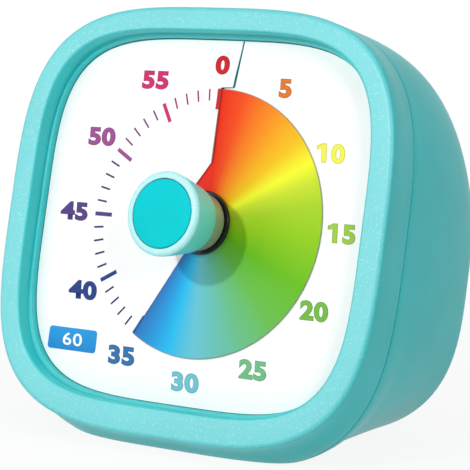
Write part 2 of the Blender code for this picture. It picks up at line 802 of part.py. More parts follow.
def dial_card():
    """The white card: one sheet with a radial slit that the disc passes through."""
    jog_start = DISC_RADIUS + JOG_MARGIN
    jog_end = jog_start + JOG_LENGTH
    columns = []
    for i in range(CARD_COLUMNS + 1):
        turn = mix(SLIT_HALF, math.tau - SLIT_HALF, i / CARD_COLUMNS)
        near = 1 - ease(min(turn, math.tau - turn) / JOG_SPREAD)
        outer_turn = turn + SLIT_JOG * near
        inner = card_inner(turn)
        edge = card_reach(outer_turn)
        inside = [(turn, r) for r in (inner, mix(inner, jog_start, 0.5), jog_start)]
        outside = [(outer_turn, r) for r in (jog_end, mix(jog_end, edge, 0.4), edge)]
        columns.append([dial_point(angle, r, card_height(turn, r)) for angle, r in inside + outside])
    card = add_object("dial_card", sheet_mesh("dial_card", columns), white_card(), hub)
    thicken(card, CARD_THICKNESS, -1)


def colour_disc():
    """The coloured film: one turn of a shallow helix, under the card before the slit and over it after."""
    columns = []
    for i in range(DISC_COLUMNS + 1):
        turn = mix(SHOWN_ANGLE - math.tau + DISC_CUT, SHOWN_ANGLE, i / DISC_COLUMNS)
        height = DISC_LIFT + RISE_PER_RADIAN * turn
        columns.append([dial_point(turn, r, height) for r in (DISC_BORE, DISC_RADIUS / 2, DISC_RADIUS)])
    disc = add_object("colour_disc", sheet_mesh("colour_disc", columns), printed_film(), hub)
    thicken(disc, FILM_THICKNESS, 1)


def arc(centre, radius, first, last, steps):
    """Points on a profile's rounding, from one angle to another in degrees."""
    turns = [math.radians(mix(first, last, i / steps)) for i in range(steps + 1)]
    return [(centre[0] + radius * math.cos(t), centre[1] + radius * math.sin(t)) for t in turns]


def sleeve_profile(bore, radius, low, high):
    return [(bore, high), (radius, high), (radius, low), (bore, low)]


def knob():
    """The knob's five pieces, all fixed on the spindle."""
    bore = SPINDLE_RADIUS + FIT_GAP
    ring_profile = sleeve_profile(bore, RING_RADIUS, RING_BACK, RING_BACK + RING_THICKNESS)
    turned("hub_ring", ring_profile, black_plastic(), hub, ring=True)
    turned("knob_stem", sleeve_profile(bore, STEM_RADIUS, STEM_BACK, STEM_TOP), steel(), hub, ring=True)
    pocket_radius = CAP_RADIUS + FIT_GAP
    pocket = KNOB_TOP - CAP_POCKET
    rim = arc((KNOB_RIM_RADIUS - KNOB_RIM_ROUND, KNOB_TOP - KNOB_RIM_ROUND), KNOB_RIM_ROUND, 90, 0, 4)
    bore_radius = STEM_RADIUS + FIT_GAP
    profile = [(0, pocket), (pocket_radius, pocket), (pocket_radius, KNOB_TOP), *rim]
    profile += [(KNOB_BACK_RADIUS, KNOB_BACK), (bore_radius, KNOB_BACK)]
    profile += [(bore_radius, WEB_BACK), (0, WEB_BACK)]
    turned("knob_body", profile, mint(), hub, steps=40)
    cap_back = pocket + FIT_GAP
    cap_front = cap_back + CAP_THICKNESS
    cap_profile = [(0, cap_front), (CAP_RADIUS, cap_front), (CAP_RADIUS, cap_back), (0, cap_back)]
    turned("knob_cap", cap_profile, cyan(), hub, steps=40)
    spindle_back = CAM_FRONT - CAM_THICKNESS - FIT_GAP
    spindle_front = STEM_TOP - FIT_GAP
    add_object("spindle", column_mesh("spindle", SPINDLE_RADIUS, spindle_back, spindle_front), brass(), hub)


def gear_outline(teeth, module, phase=0.0):
    """Straight-sided teeth, with a tooth's middle at the phase angle."""
    pitch_radius = teeth * module / 2
    half_tooth = math.pi * module / 4 - TOOTH_BACKLASH / 2
    tip = TOOTH_TIP * module
    root = TOOTH_ROOT * module
    tip_angle = (half_tooth - tip * TOOTH_SLOPE) / (pitch_radius + tip)
    root_angle = (half_tooth + root * TOOTH_SLOPE / 2) / (pitch_radius - root)
    shape = [(-root_angle, -root), (-tip_angle, tip), (tip_angle, tip), (root_angle, -root)]
    points = []
    for tooth in range(teeth):
        middle = phase + math.tau * tooth / teeth
        for turn, rise in shape:
            radius = pitch_radius + rise
            points.append((radius * math.cos(middle + turn), radius * math.sin(middle + turn)))
    return points


def meshing_phase(direction, teeth, phase, other_teeth):
    """The phase that sets the other gear's tooth in this gear's gap, on the line of centres."""
    share = ((direction - phase) * teeth / math.tau) % 1
    return direction + math.pi + (share + 0.5) * math.tau / other_teeth


def arbor_wheel(name, place, wheel, pinion, finish):
    """A wheel or a magnet and a pinion on one arbor that turns in blind holes of the case and the lid."""
    front = CASE_FRONT - CASE_WALL + PIVOT_DEPTH - FIT_GAP
    back = CASE_BACK - PIVOT_DEPTH
    arbor = column_mesh(name, ARBOR_RADIUS, back, front, segments=16)
    made = add_object(name, arbor, finish, hub, (*place, 0))
    for outline, middle, length in (wheel, pinion):
        join_solid(made, prism_mesh(name, outline, middle - length / 2, middle + length / 2))


def toward(place, distance, direction):
    return (place[0] + distance * math.cos(direction), place[1] + distance * math.sin(direction))


def train_places():
    """The middles of the third wheel, the second wheel and the rotor, from the spindle."""
    first = (OUTPUT_TEETH + OUTPUT_PINION) * OUTPUT_MODULE / 2 + GEAR_CLEARANCE
    second = (THIRD_TEETH + THIRD_PINION) * THIRD_MODULE / 2 + GEAR_CLEARANCE
    third = (SECOND_TEETH + SECOND_PINION) * SECOND_MODULE / 2 + GEAR_CLEARANCE
    third_wheel = toward((0, 0), first, THIRD_DIRECTION)
    second_wheel = toward(third_wheel, second, TRAIN_DIRECTION)
    return third_wheel, second_wheel, toward(second_wheel, third, TRAIN_DIRECTION)


def gear_train():
    """The output wheel on the spindle and the three wheels that the motor drives it through."""
    third_place, second_place, rotor_place = train_places()
    outlines = [gear_outline(OUTPUT_TEETH, OUTPUT_MODULE), circle(SPINDLE_RADIUS + FIT_GAP)]
    plate("output_wheel", outlines, GEAR_THICKNESS, white_plastic(), hub, (0, 0, FIRST_LAYER))
    phase = meshing_phase(THIRD_DIRECTION, OUTPUT_TEETH, 0, OUTPUT_PINION)
    pinion = (gear_outline(OUTPUT_PINION, OUTPUT_MODULE, phase), FIRST_LAYER, PINION_LENGTH)
    wheel = (gear_outline(THIRD_TEETH, THIRD_MODULE), SECOND_LAYER, GEAR_THICKNESS)
    arbor_wheel("third_wheel", third_place, wheel, pinion, white_plastic())
    phase = meshing_phase(TRAIN_DIRECTION, THIRD_TEETH, 0, THIRD_PINION)
    pinion = (gear_outline(THIRD_PINION, THIRD_MODULE, phase), SECOND_LAYER, PINION_LENGTH)
    wheel = (gear_outline(SECOND_TEETH, SECOND_MODULE), THIRD_LAYER, GEAR_THICKNESS)
    arbor_wheel("second_wheel", second_place, wheel, pinion, white_plastic())
    phase = meshing_phase(TRAIN_DIRECTION, SECOND_TEETH, 0, SECOND_PINION)
    pinion = (gear_outline(SECOND_PINION, SECOND_MODULE, phase), THIRD_LAYER, PINION_LENGTH)
    magnet = (circle(MAGNET_RADIUS), MAGNET_LAYER, MAGNET_LENGTH)
    arbor_wheel("rotor", rotor_place, magnet, pinion, steel())


def motor():
    """The stator plate with its hole for the rotor, and the coil on its left limb."""
    x, y = train_places()[2]
    left = x - STATOR_WIDTH / 2
    right = x + STATOR_WIDTH / 2
    window = rectangle(left + STATOR_BAND, y + STATOR_FOOT, right - STATOR_BAND, STATOR_TOP - STATOR_BAND)
    rotor_hole = circle(STATOR_HOLE, centre=(x, y))
    outlines = [rectangle(left, y - STATOR_FOOT, right, STATOR_TOP), window, rotor_hole]
    plate("stator", outlines, STATOR_THICKNESS, steel(), hub, (0, 0, MAGNET_LAYER))
    limb = (left + STATOR_BAND / 2, (y + STATOR_FOOT + STATOR_TOP - STATOR_BAND) / 2, MAGNET_LAYER)
    hole_width = STATOR_BAND / 2 + FIT_GAP
    hole_depth = STATOR_THICKNESS / 2 + FIT_GAP
    core_width = hole_width + BOBBIN_WALL
    core_depth = hole_depth + BOBBIN_WALL
    end = BOBBIN_LENGTH / 2
    core = block_mesh("core", (-core_width, core_width), (-end, end), (-core_depth, core_depth))
    bobbin = add_object("coil_bobbin", core, white_plastic(), hub, limb)
    wide = BOBBIN_WIDTH / 2
    deep = BOBBIN_DEPTH / 2
    for low in (-end, end - FLANGE_THICKNESS):
        span = (low, low + FLANGE_THICKNESS)
        join_solid(bobbin, block_mesh("flange", (-wide, wide), span, (-deep, deep)))
    hole = block_mesh("hole", (-hole_width, hole_width), (-2 * end, 2 * end), (-hole_depth, hole_depth))
    cut(bobbin, hole)
    long = end - FLANGE_THICKNESS - FIT_GAP
    wide -= FIT_GAP
    deep -= FIT_GAP
    outer = block_mesh("coil_winding", (-wide, wide), (-long, long), (-deep, deep))
    winding = soften(add_object("coil_winding", outer, copper(), hub, limb), 2 * FIT_GAP)
    wide = core_width + FIT_GAP
    deep = core_depth + FIT_GAP
    cut(winding, block_mesh("core_hole", (-wide, wide), (-end, end), (-deep, deep)))


def stator_post_places():
    """Where two posts of the case stand under the stator: its upper right corner and its lower left one."""
    x, y = train_places()[2]
    inset = STATOR_BAND / 2
    upper = (x + STATOR_WIDTH / 2 - inset, STATOR_TOP - inset)
    lower = (x - STATOR_WIDTH / 2 + inset, y - STATOR_FOOT + inset)
    return [upper, lower]


def movement_case():
    """The movement's box with its bush and ears, and its lid."""
    outline = rounded_rectangle(CASE_SIDE, CASE_SIDE, CASE_CORNER)
    inside = rounded_rectangle(CASE_SIDE - 2 * CASE_WALL, CASE_SIDE - 2 * CASE_WALL, CASE_CORNER - CASE_WALL)
    front = CASE_FRONT - CASE_WALL
    box = prism_mesh("movement_case_front", outline, CASE_BACK, CASE_FRONT)
    case = add_object("movement_case_front", box, black_plastic(), hub)
    cut(case, prism_mesh("inside", inside, CASE_BACK - MM, front))
    join_solid(case, column_mesh("bush", BUSH_RADIUS, front + CASE_WALL / 2, RECESS_FLOOR))
    cut(case, column_mesh("bore", SPINDLE_RADIUS + FIT_GAP, front - MM, 0))
    for x, _ in ear_screw_places():
        place = x - DIAL_OFFSET
        inner = math.copysign(CASE_SIDE / 2 - CASE_WALL / 2, place)
        outer = place + math.copysign(SMALL_HEAD_RADIUS + 0.6 * MM, place)
        across = (min(inner, outer), max(inner, outer))
        upright = (-EAR_WIDTH / 2, EAR_WIDTH / 2)
        join_solid(case, block_mesh("ear", across, upright, (CASE_FRONT - EAR_THICKNESS, CASE_FRONT)))
        hole = column_mesh(
            "ear_hole", SMALL_SCREW_RADIUS + THREAD_GAP, CASE_FRONT - 2 * EAR_THICKNESS, 0, (place, 0), 12
        )
        cut(case, hole)
    for place in stator_post_places():
        post_back = MAGNET_LAYER + STATOR_THICKNESS / 2 + FIT_GAP
        join_solid(case, column_mesh("post", STATOR_POST, post_back, front + CASE_WALL / 2, place, 12))
    cover = prism_mesh("movement_case_rear", outline, LID_BACK, LID_BACK + CASE_LID)
    lid = add_object("movement_case_rear", cover, black_plastic(), hub)
    cut(lid, column_mesh("bore", SPINDLE_RADIUS + FIT_GAP, LID_BACK - MM, CASE_BACK))
    pivot = ARBOR_RADIUS + THREAD_GAP
    for place in train_places():
        cut(case, column_mesh("pivot", pivot, front - MM, front + PIVOT_DEPTH, place, 16))
        lid_front = LID_BACK + CASE_LID
        cut(lid, column_mesh("pivot", pivot, lid_front - PIVOT_DEPTH - FIT_GAP, lid_front + MM, place, 16))
    for i, (x, y) in enumerate(ear_screw_places(), 1):
        seat = CASE_FRONT - EAR_THICKNESS - FIT_GAP
        small_screw(f"movement_screw_{i}", face, (x, y, seat))


def alarm_switch():
    """The notched cam behind the lid and the leaf that rides on it, which together start the sounder."""
    outline = []
    for i in range(32):
        turn = math.tau * i / 32
        radius = CAM_RADIUS - (CAM_NOTCH if i in (7, 8, 9) else 0)
        outline.append((radius * math.cos(turn), radius * math.sin(turn)))
    place = (0, 0, CAM_FRONT - CAM_THICKNESS / 2)
    bore = circle(SPINDLE_RADIUS + FIT_GAP)
    plate("alarm_cam", [outline, bore], CAM_THICKNESS, white_plastic(), hub, place)
    across = (-LEAF_WIDTH / 2, LEAF_WIDTH / 2)
    start = CAM_RADIUS + FIT_GAP
    strip_depth = (CAM_FRONT - LEAF_THICKNESS, CAM_FRONT)
    strip = block_mesh("contact_leaf", across, (start, start + LEAF_LENGTH), strip_depth)
    leaf = add_object("contact_leaf", strip, brass(), hub)
    lip = block_mesh("lip", across, (start, start + LEAF_THICKNESS), (CAM_FRONT - CAM_THICKNESS, CAM_FRONT))
    join_solid(leaf, lip)


def screw_profile(radius, head_radius, head_height, length):
    """A screw that points along z, with its seat at zero and a round drive hole in its head."""
    drive = head_radius / 2.5
    return [
        (0, length),
        (radius / 2, length),
        (radius, length - radius),
        (radius, 0),
        (head_radius, 0),
        (head_radius, -head_height * 0.6),
        (head_radius * 0.8, -head_height),
        (drive, -head_height),
        (drive, -head_height / 2),
        (0, -head_height / 2),
    ]


def small_screw(name, parent, place):
    profile = screw_profile(SMALL_SCREW_RADIUS, SMALL_HEAD_RADIUS, SMALL_HEAD_HEIGHT, SMALL_SCREW_LENGTH)
    return turned(name, profile, steel(), parent, place, steps=12)


def shell_screws():
    profile = screw_profile(SCREW_RADIUS, SCREW_HEAD_RADIUS, SCREW_HEAD_HEIGHT, SCREW_LENGTH)
    seat = POST_FRONT - POST_WEB - FIT_GAP
    for i, place in enumerate(shell_screw_places(), 1):
        turned(f"shell_screw_{i}", profile, steel(), face, (*place, seat), steps=16)


def battery_group():
    """The battery lying across, its two contact plates, the spring at its flat end and the door."""
    left = -BAY_LENGTH / 2
    plate_right = left + FIT_GAP + CONTACT_THICKNESS
    spring_right = plate_right + FIT_GAP + SPRING_LENGTH
    battery_left = spring_right + FIT_GAP
    height = BATTERY_CENTRE_HEIGHT
    half_side = CONTACT_SIDE / 2
    upright = (height - half_side, height + half_side)
    depth = (BATTERY_DEPTH - half_side, BATTERY_DEPTH + half_side)
    minus = block_mesh("minus", (left + FIT_GAP, plate_right), upright, depth)
    add_object("contact_plate_negative", minus, steel(), face)
    plus = block_mesh("plus", (-plate_right, -left - FIT_GAP), upright, depth)
    add_object("contact_plate_positive", plus, steel(), face)
    contact_spring((plate_right + FIT_GAP, height, BATTERY_DEPTH))
    shoulder = BATTERY_LENGTH
    edge = FIT_GAP
    profile = [
        (0, shoulder + BATTERY_NUB_LENGTH),
        (BATTERY_NUB_RADIUS, shoulder + BATTERY_NUB_LENGTH),
        (BATTERY_NUB_RADIUS, shoulder),
        (BATTERY_RADIUS - edge, shoulder),
        (BATTERY_RADIUS, shoulder - edge),
        (BATTERY_RADIUS, edge),
        (BATTERY_RADIUS - edge, 0),
        (0, 0),
    ]
    place = (battery_left, height, BATTERY_DEPTH)
    battery = turned("battery", profile, battery_sleeve(), face, place, steps=24)
    battery.rotation_euler = (0, math.pi / 2, 0)
    battery_door()


def contact_spring(place):
    """A tapering coil along x, from the contact plate to the battery."""
    radius = SPRING_WIRE / 2
    steps = SPRING_TURNS * SPRING_POINTS
    points = []
    for i in range(steps + 1):
        share = i / steps
        turn = math.tau * SPRING_TURNS * share
        wide = mix(SPRING_WIDE, SPRING_NARROW, share)
        x = mix(radius, SPRING_LENGTH - radius, share)
        points.append(Vector((x, wide * math.cos(turn), wide * math.sin(turn))))
    curve = bpy.data.curves.new("contact_spring", "CURVE")
    curve.dimensions = "3D"
    curve.bevel_depth = radius
    curve.bevel_resolution = 1
    curve.use_fill_caps = True
    spline = curve.splines.new("POLY")
    spline.points.add(steps)
    for point, at in zip(spline.points, points):
        point.co = (*at, 1)
    from_curve("contact_spring", curve, steel(), face, place)
    apart = [
        (a - b).length
        for i, a in enumerate(points)
        for b in points[i + SPRING_POINTS // 2 :]
    ]
    print(f"contact spring: least gap to itself {(min(apart) - SPRING_WIRE) / MM:.2f} mm")


def battery_door():
    """The door on the back, with two tabs that drop into the bay and ribs for a thumb."""
    inner = REAR_FACE + DOOR_THICKNESS
    outline = door_outline()
    door = add_object("battery_door", prism_mesh("battery_door", outline, REAR_FACE, inner), mint(), face)
    bottom = BATTERY_CENTRE_HEIGHT - BAY_HEIGHT / 2 + FIT_GAP
    for side in (-1, 1):
        middle = side * DOOR_TAB_SPACING / 2
        across = (middle - DOOR_TAB_LENGTH / 2, middle + DOOR_TAB_LENGTH / 2)
        upright = (bottom, bottom + DOOR_THICKNESS)
        join_solid(door, block_mesh("tab", across, upright, (inner - MM / 2, inner + DOOR_TAB_DEPTH)))
    for i in range(DOOR_RIBS):
        y = BATTERY_CENTRE_HEIGHT + (i - (DOOR_RIBS - 1) / 2) * DOOR_RIB_PITCH
        across = (-DOOR_RIB_LENGTH / 2, DOOR_RIB_LENGTH / 2)
        upright = (y - DOOR_RIB_HEIGHT, y + DOOR_RIB_HEIGHT)
        span = (REAR_FACE - DOOR_RIB_HEIGHT, REAR_FACE + MM / 2)
        join_solid(door, block_mesh("rib", across, upright, span))


def switch_group():
    """Two sliders for loudness and length of the alarm, their bodies, the board and its screws."""
    slider_high = SWITCH_BODY_BACK + SLIDER_SEAT
    places = (-SWITCH_SPACING / 2, SWITCH_SPACING / 2)
    for name, x, (centre, travel) in zip(("volume", "duration"), places, slider_slots()):
        half_width, half_height = SLIDER_WIDTH / 2, SLIDER_HEIGHT / 2
        span = (REAR_FACE - SLIDER_PROUD, slider_high)
        block = block_mesh("slider", (-half_width, half_width), (-half_height, half_height), span)
        soften(add_object(name + "_slider", block, white_plastic(), face, (x, SWITCH_HEIGHT, 0)), FIT_GAP)
        slot_width = half_width + travel / 2 + FIT_GAP
        slot_height = half_height + FIT_GAP
        body_width = slot_width + SWITCH_BODY_WALL
        body_height = slot_height + SWITCH_BODY_WALL
        depth = (SWITCH_BODY_BACK, SWITCH_BODY_BACK + SWITCH_BODY_DEPTH)
        block = block_mesh("body", (-body_width, body_width), (-body_height, body_height), depth)
        body = add_object(name + "_switch_body", block, black_plastic(), face, (centre, SWITCH_HEIGHT, 0))
        opening = (SWITCH_BODY_BACK - MM, slider_high + FIT_GAP)
        cut(body, block_mesh("slot", (-slot_width, slot_width), (-slot_height, slot_height), opening))
    holes = [
        circle(SMALL_SCREW_RADIUS + THREAD_GAP, 12, (side * BOARD_POST_SPACING / 2, 0)) for side in (-1, 1)
    ]
    half_width, half_height = BOARD_WIDTH / 2, BOARD_HEIGHT / 2
    outlines = [rectangle(-half_width, -half_height, half_width, half_height), *holes]
    middle = (BOARD_BACK + BOARD_FRONT) / 2
    plate("circuit_board", outlines, BOARD_THICKNESS, board_green(), face, (0, SWITCH_HEIGHT, middle))
    for i, side in enumerate((-1, 1), 1):
        place = (side * BOARD_POST_SPACING / 2, SWITCH_HEIGHT, BOARD_FRONT + FIT_GAP)
        small_screw(f"board_screw_{i}", face, place).rotation_euler = (math.pi, 0, 0)


def sounder():
    """The round alarm sounder behind the slots, its hole towards them."""
    hole_depth = SOUNDER_HOLE
    profile = [
        (0, SOUNDER_DEPTH),
        (SOUNDER_RADIUS, SOUNDER_DEPTH),
        (SOUNDER_RADIUS, 0),
        (SOUNDER_HOLE, 0),
        (SOUNDER_HOLE, hole_depth),
        (0, hole_depth),
    ]
    turned("sounder", profile, black_plastic(), face, (0, SOUNDER_HEIGHT, REAR_INSIDE + FIT_GAP), steps=28)


def place_on_floor():
    """Moves the whole timer so that its box is centred over the origin; its base is already at zero."""
    bpy.context.view_layer.update()
    solids = [made for made in parts.objects if made.type == "MESH"]
    corners = [made.matrix_world @ v.co for made in solids for v in made.data.vertices]
    for axis in (0, 1):
        values = [corner[axis] for corner in corners]
        face.location[axis] -= (min(values) + max(values)) / 2
    bpy.context.view_layer.update()


clear_scene()
parts = make_collection("visual_timer")
cutters = make_collection("cutters")
face = bpy.data.objects.new("face_frame", None)
parts.objects.link(face)
face.rotation_euler = (math.pi / 2 - FACE_TILT, 0, 0)
face.location = (0, 0, HUB_HEIGHT)
hub = bpy.data.objects.new("hub_frame", None)
parts.objects.link(hub)
hub.parent = face
hub.location = (DIAL_OFFSET, 0, 0)
front_shell()
rear_shell()
dial_card()
colour_disc()
knob()
movement_case()
gear_train()
motor()
alarm_switch()
shell_screws()
battery_group()
switch_group()
sounder()
place_on_floor()
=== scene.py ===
import json
from math import atan2, cos, hypot, pi, radians, sin, tau

import bmesh
import bpy
from mathutils import Matrix, Vector


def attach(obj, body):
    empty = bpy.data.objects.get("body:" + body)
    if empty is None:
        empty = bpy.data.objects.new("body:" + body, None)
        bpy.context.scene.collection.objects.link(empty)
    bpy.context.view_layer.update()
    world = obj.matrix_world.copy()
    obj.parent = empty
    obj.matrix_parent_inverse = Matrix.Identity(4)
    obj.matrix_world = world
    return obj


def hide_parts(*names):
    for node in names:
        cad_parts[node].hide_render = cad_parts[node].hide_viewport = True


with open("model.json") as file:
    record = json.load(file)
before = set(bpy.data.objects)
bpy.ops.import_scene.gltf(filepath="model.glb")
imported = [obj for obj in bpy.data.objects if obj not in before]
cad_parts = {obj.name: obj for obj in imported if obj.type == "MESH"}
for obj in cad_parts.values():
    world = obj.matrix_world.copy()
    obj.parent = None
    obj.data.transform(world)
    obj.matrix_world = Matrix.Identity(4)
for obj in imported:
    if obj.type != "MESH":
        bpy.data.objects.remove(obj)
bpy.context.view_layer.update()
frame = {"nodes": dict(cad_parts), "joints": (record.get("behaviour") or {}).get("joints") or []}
print("frame loaded")

mm = 0.001
white = (1, 1, 1, 1)

# The dial's own frame, from the knob's joint: x to the right, y up the card, z out of it.
knobJoint = next(j for j in frame["joints"] if j["name"] == "knob_turn")
dialMiddle = Vector(knobJoint["pos_m"])
dialOut = -Vector(knobJoint["axis"]).normalized()
dialUp = dialOut.cross(Vector((1, 0, 0)))
dialTurn = Matrix((Vector((1, 0, 0)), dialUp, dialOut)).transposed().to_4x4()
dialPlace = Matrix.Translation(dialMiddle) @ dialTurn

# Lengths in the dictionaries are in millimetres, but the camera's place, the lamps and the room are in
# metres. Angles there are in degrees.
stance = {"tilt": 13.0, "dialOffset": 2.4, "outlinePoints": 240, "fitGap": 0.3, "footBlend": 1.2, "sharp": 32}
facePlace = dialPlace @ Matrix.Translation((-stance["dialOffset"] * mm, 0, 0))
gap = stance["fitGap"]


def toFace(mesh):
    mesh.transform(facePlace @ Matrix.Scale(mm, 4))
    return mesh


def toDial(mesh):
    mesh.transform(dialPlace @ Matrix.Scale(mm, 4))
    return mesh


def ease(t):
    t = min(max(t, 0.0), 1.0)
    return t * t * (3 - 2 * t)


def blend(a, b, t):
    return a + (b - a) * t


# Even steps from one value to another, both included.
def span(first, last, steps):
    return [blend(first, last, i / steps) for i in range(steps + 1)]


# At each angle of a rounding with a radius of one: how far in from its side, and how far down from its top.
def rounding(*angles):
    return [(1 - cos(radians(a)), 1 - sin(radians(a))) for a in angles]


# Node trees

class Port:
    # An output socket. The operators add Math nodes beside it.
    def __init__(self, maker, socket):
        self.maker, self.socket = maker, socket

    def math(self, operation, other=0.0):
        return self.maker.add("ShaderNodeMath", {"operation": operation}, {0: self, 1: other})

    __add__ = __radd__ = lambda self, other: self.math("ADD", other)
    __sub__ = lambda self, other: self.math("SUBTRACT", other)
    __mul__ = __rmul__ = lambda self, other: self.math("MULTIPLY", other)
    __truediv__ = lambda self, other: self.math("DIVIDE", other)
    __mod__ = lambda self, other: self.math("FLOORED_MODULO", other)
    __pow__ = lambda self, other: self.math("POWER", other)
    __gt__ = lambda self, other: self.math("GREATER_THAN", other)
    __lt__ = lambda self, other: self.math("LESS_THAN", other)


class NodeMaker:
    def __init__(self, tree):
        self.tree = tree

    # Settings come first, then each socket's value or link.
    def add(self, kind, settings=None, sockets=None, output=0):
        made = self.tree.nodes.new(kind)
        for name, value in (settings or {}).items():
            setattr(made, name, value)
        for name, value in (sockets or {}).items():
            if isinstance(value, Port):
                self.tree.links.new(value.socket, made.inputs[name])
            else:
                made.inputs[name].default_value = value
        return Port(self, made.outputs[output]) if len(made.outputs) else None

    def ramp(self, share, stops, interpolation="LINEAR"):
        made = self.add("ShaderNodeValToRGB", {}, {"Fac": share})
        ramp = made.socket.node.color_ramp
        ramp.interpolation = interpolation
        while len(ramp.elements) < len(stops):
            ramp.elements.new(1.0)
        for stop, (position, colour) in zip(ramp.elements, stops):
            stop.position, stop.color = position, (*colour, 1.0)
        return made

    def tint(self, first, second, share):
        first, second = (c if isinstance(c, Port) else (*c, 1.0) for c in (first, second))
        return self.add("ShaderNodeMix", {"data_type": "RGBA"}, {0: share, 6: first, 7: second}, 2)

    def here(self):
        return self.add("ShaderNodeTexCoord", output="Object")

    # The same point in the dial's frame, still in metres.
    def onDial(self):
        turned = tuple(dialPlace.to_euler())
        sockets = {"Vector": self.here(), "Location": tuple(dialMiddle), "Rotation": turned}
        return self.add("ShaderNodeMapping", {"vector_type": "TEXTURE"}, sockets)

    def stretched(self, point, scale):
        return self.add("ShaderNodeMapping", {}, {"Vector": point, "Scale": scale})

    def axes(self, point):
        split = self.add("ShaderNodeSeparateXYZ", {}, {"Vector": point}).socket.node
        return [Port(self, output) for output in split.outputs]

    def attribute(self, name):
        return self.add("ShaderNodeAttribute", {"attribute_name": name}, {}, "Fac")

    def grain(self, point, size, detail=2.0, rough=0.5):
        sockets = {"Vector": point, "Scale": 1 / (size * mm), "Detail": detail, "Roughness": rough}
        return self.add("ShaderNodeTexNoise", {}, sockets)

    def speck(self, size=0.3):
        return self.grain(self.onDial(), size, 3.0, 0.6)

    def between(self, value, low, high, outLow=0.0, outHigh=1.0):
        sockets = {"Value": value, "From Min": low, "From Max": high, "To Min": outLow, "To Max": outHigh}
        return self.add("ShaderNodeMapRange", {}, sockets)

    def grey(self, colour):
        return self.add("ShaderNodeRGBToBW", {}, {"Color": colour})

    def bump(self, height, depth, strength=1.0):
        sockets = {"Height": height, "Distance": depth * mm, "Strength": strength}
        return self.add("ShaderNodeBump", {}, sockets)


def startFinish(name):
    material = bpy.data.materials.new(name)
    material.use_nodes = True
    material.node_tree.nodes.clear()
    return material, NodeMaker(material.node_tree)


# Makes a material from a recipe's colour, roughness and normal, and from how metallic and shiny it is.
def finished(name, recipe, *values):
    material, nodes = startFinish(name)
    colour, rough, normal, *rest = recipe(nodes, *values)
    metallic, shine = (*rest, *(0.0, 0.5)[len(rest):])
    sockets = {"Base Color": colour, "Roughness": rough, "Normal": normal, "Metallic": metallic}
    shader = nodes.add("ShaderNodeBsdfPrincipled", {}, {**sockets, "Specular IOR Level": shine})
    nodes.add("ShaderNodeOutputMaterial", {}, {"Surface": shader})
    return material


# Finishes

# Colour, the paler tone of worn edges and of the painted sheen and glints, roughness, size and depth of the
# grain, and shine.
mouldings = {
    "mintMoulding": ((0.0, 0.50, 0.51), (0.34, 0.68, 0.72), 0.40, 0.50, 0.030, 0.6),
    "mintKnob": ((0.16, 0.66, 0.67), (0.80, 0.93, 0.93), 0.42, 0.45, 0.012, 0.5),
    "cyanCap": ((0.0, 0.55, 0.59), (0.01, 0.58, 0.62), 0.40, 0.40, 0.006, 0.05),
    "whiteMoulding": ((0.80, 0.80, 0.77), (0.84, 0.84, 0.82), 0.38, 0.50, 0.008, 0.5),
    "blackMoulding": ((0.018, 0.018, 0.020), (0.05, 0.05, 0.052), 0.42, 0.45, 0.014, 0.5),
    "blackGloss": ((0.006, 0.006, 0.007), (0.02, 0.02, 0.02), 0.24, 1.20, 0.004, 0.25),
}


# A moulded plastic with a fine spark-eroded grain. The mesh's own value says where edges are worn, up to a
# half, and from a half to one where a painted sheen pales the face in place of a lamp's broad highlight.
def moulding(nodes, colour, wearAndSheenTone, rough, size, depth, shine):
    point = nodes.here()
    fine = nodes.grain(point, size, 3.0, 0.6)
    cloud = nodes.grain(point, 22.0, 3.0)
    scuff = nodes.grain(point, 3.0, 4.0, 0.65)
    wearAndSheen = nodes.attribute("wearAndSheen")
    # The share above a half is painted sheen; below it, edge wear.
    paintedSheen = nodes.between(wearAndSheen, 0.5, 1.0)
    worn = (wearAndSheen - paintedSheen) * nodes.between(scuff, 0.38, 0.68)
    shade = nodes.tint(colour, tuple(c * 0.93 for c in colour), nodes.between(cloud, 0.35, 0.65))
    # Painted glints: pale specks in the grain in place of sparkling highlights, stronger under the painted
    # sheen.
    paintedGlints = nodes.between(fine, 0.56, 0.70) * (paintedSheen * 0.50 + 0.12)
    shade = nodes.tint(shade, wearAndSheenTone, paintedSheen * 0.34 + worn * 0.14 + paintedGlints)
    rough = rough + (fine - 0.5) * 0.16 + (cloud - 0.5) * 0.06 - worn * 0.06
    return shade, rough, nodes.bump(fine + scuff * 0.25, depth, 0.9), 0.0, shine


# White card with a painted shadow along the slit: a dark line where the gap beside the flap's edge is in
# shade.
def cardStock(nodes):
    point = nodes.onDial()
    fibre = nodes.grain(nodes.stretched(point, (1.0, 0.45, 1.0)), 0.35, 4.0, 0.6)
    cloud = nodes.between(nodes.grain(point, 14.0, 2.0), 0.35, 0.65)
    colour = nodes.tint((0.90, 0.90, 0.895), (0.875, 0.876, 0.875), cloud * 0.6 + fibre * 0.3)
    across, up, _ = nodes.axes(point)
    # Painted shadow: a thin dark strip beside the slit, where the gap would be in shade.
    cut = (across > -0.35 * mm) * (across < 0.2 * mm) * (up > 18.8 * mm) * (up < 42.3 * mm)
    colour = nodes.tint(colour, (0.09, 0.015, 0.015), cut * 0.8)
    return colour, 0.48 + fibre * 0.12, nodes.bump(fibre, 0.006, 0.6)


# Colours of the print, each from its own minute on.
inks = [
    (0.0, (0.53, 0.006, 0.010)), (5.0, (0.65, 0.16, 0.015)), (10.0, (0.79, 0.77, 0.07)),
    (15.0, (0.31, 0.52, 0.045)), (20.0, (0.15, 0.42, 0.040)), (25.0, (0.14, 0.44, 0.20)),
    (30.0, (0.14, 0.49, 0.56)), (35.0, (0.025, 0.14, 0.36)), (36.0, (0.012, 0.040, 0.20)),
    (45.0, (0.075, 0.040, 0.19)), (50.0, (0.29, 0.065, 0.24)), (55.0, (0.55, 0.018, 0.14)),
]
inkShine = 0.15


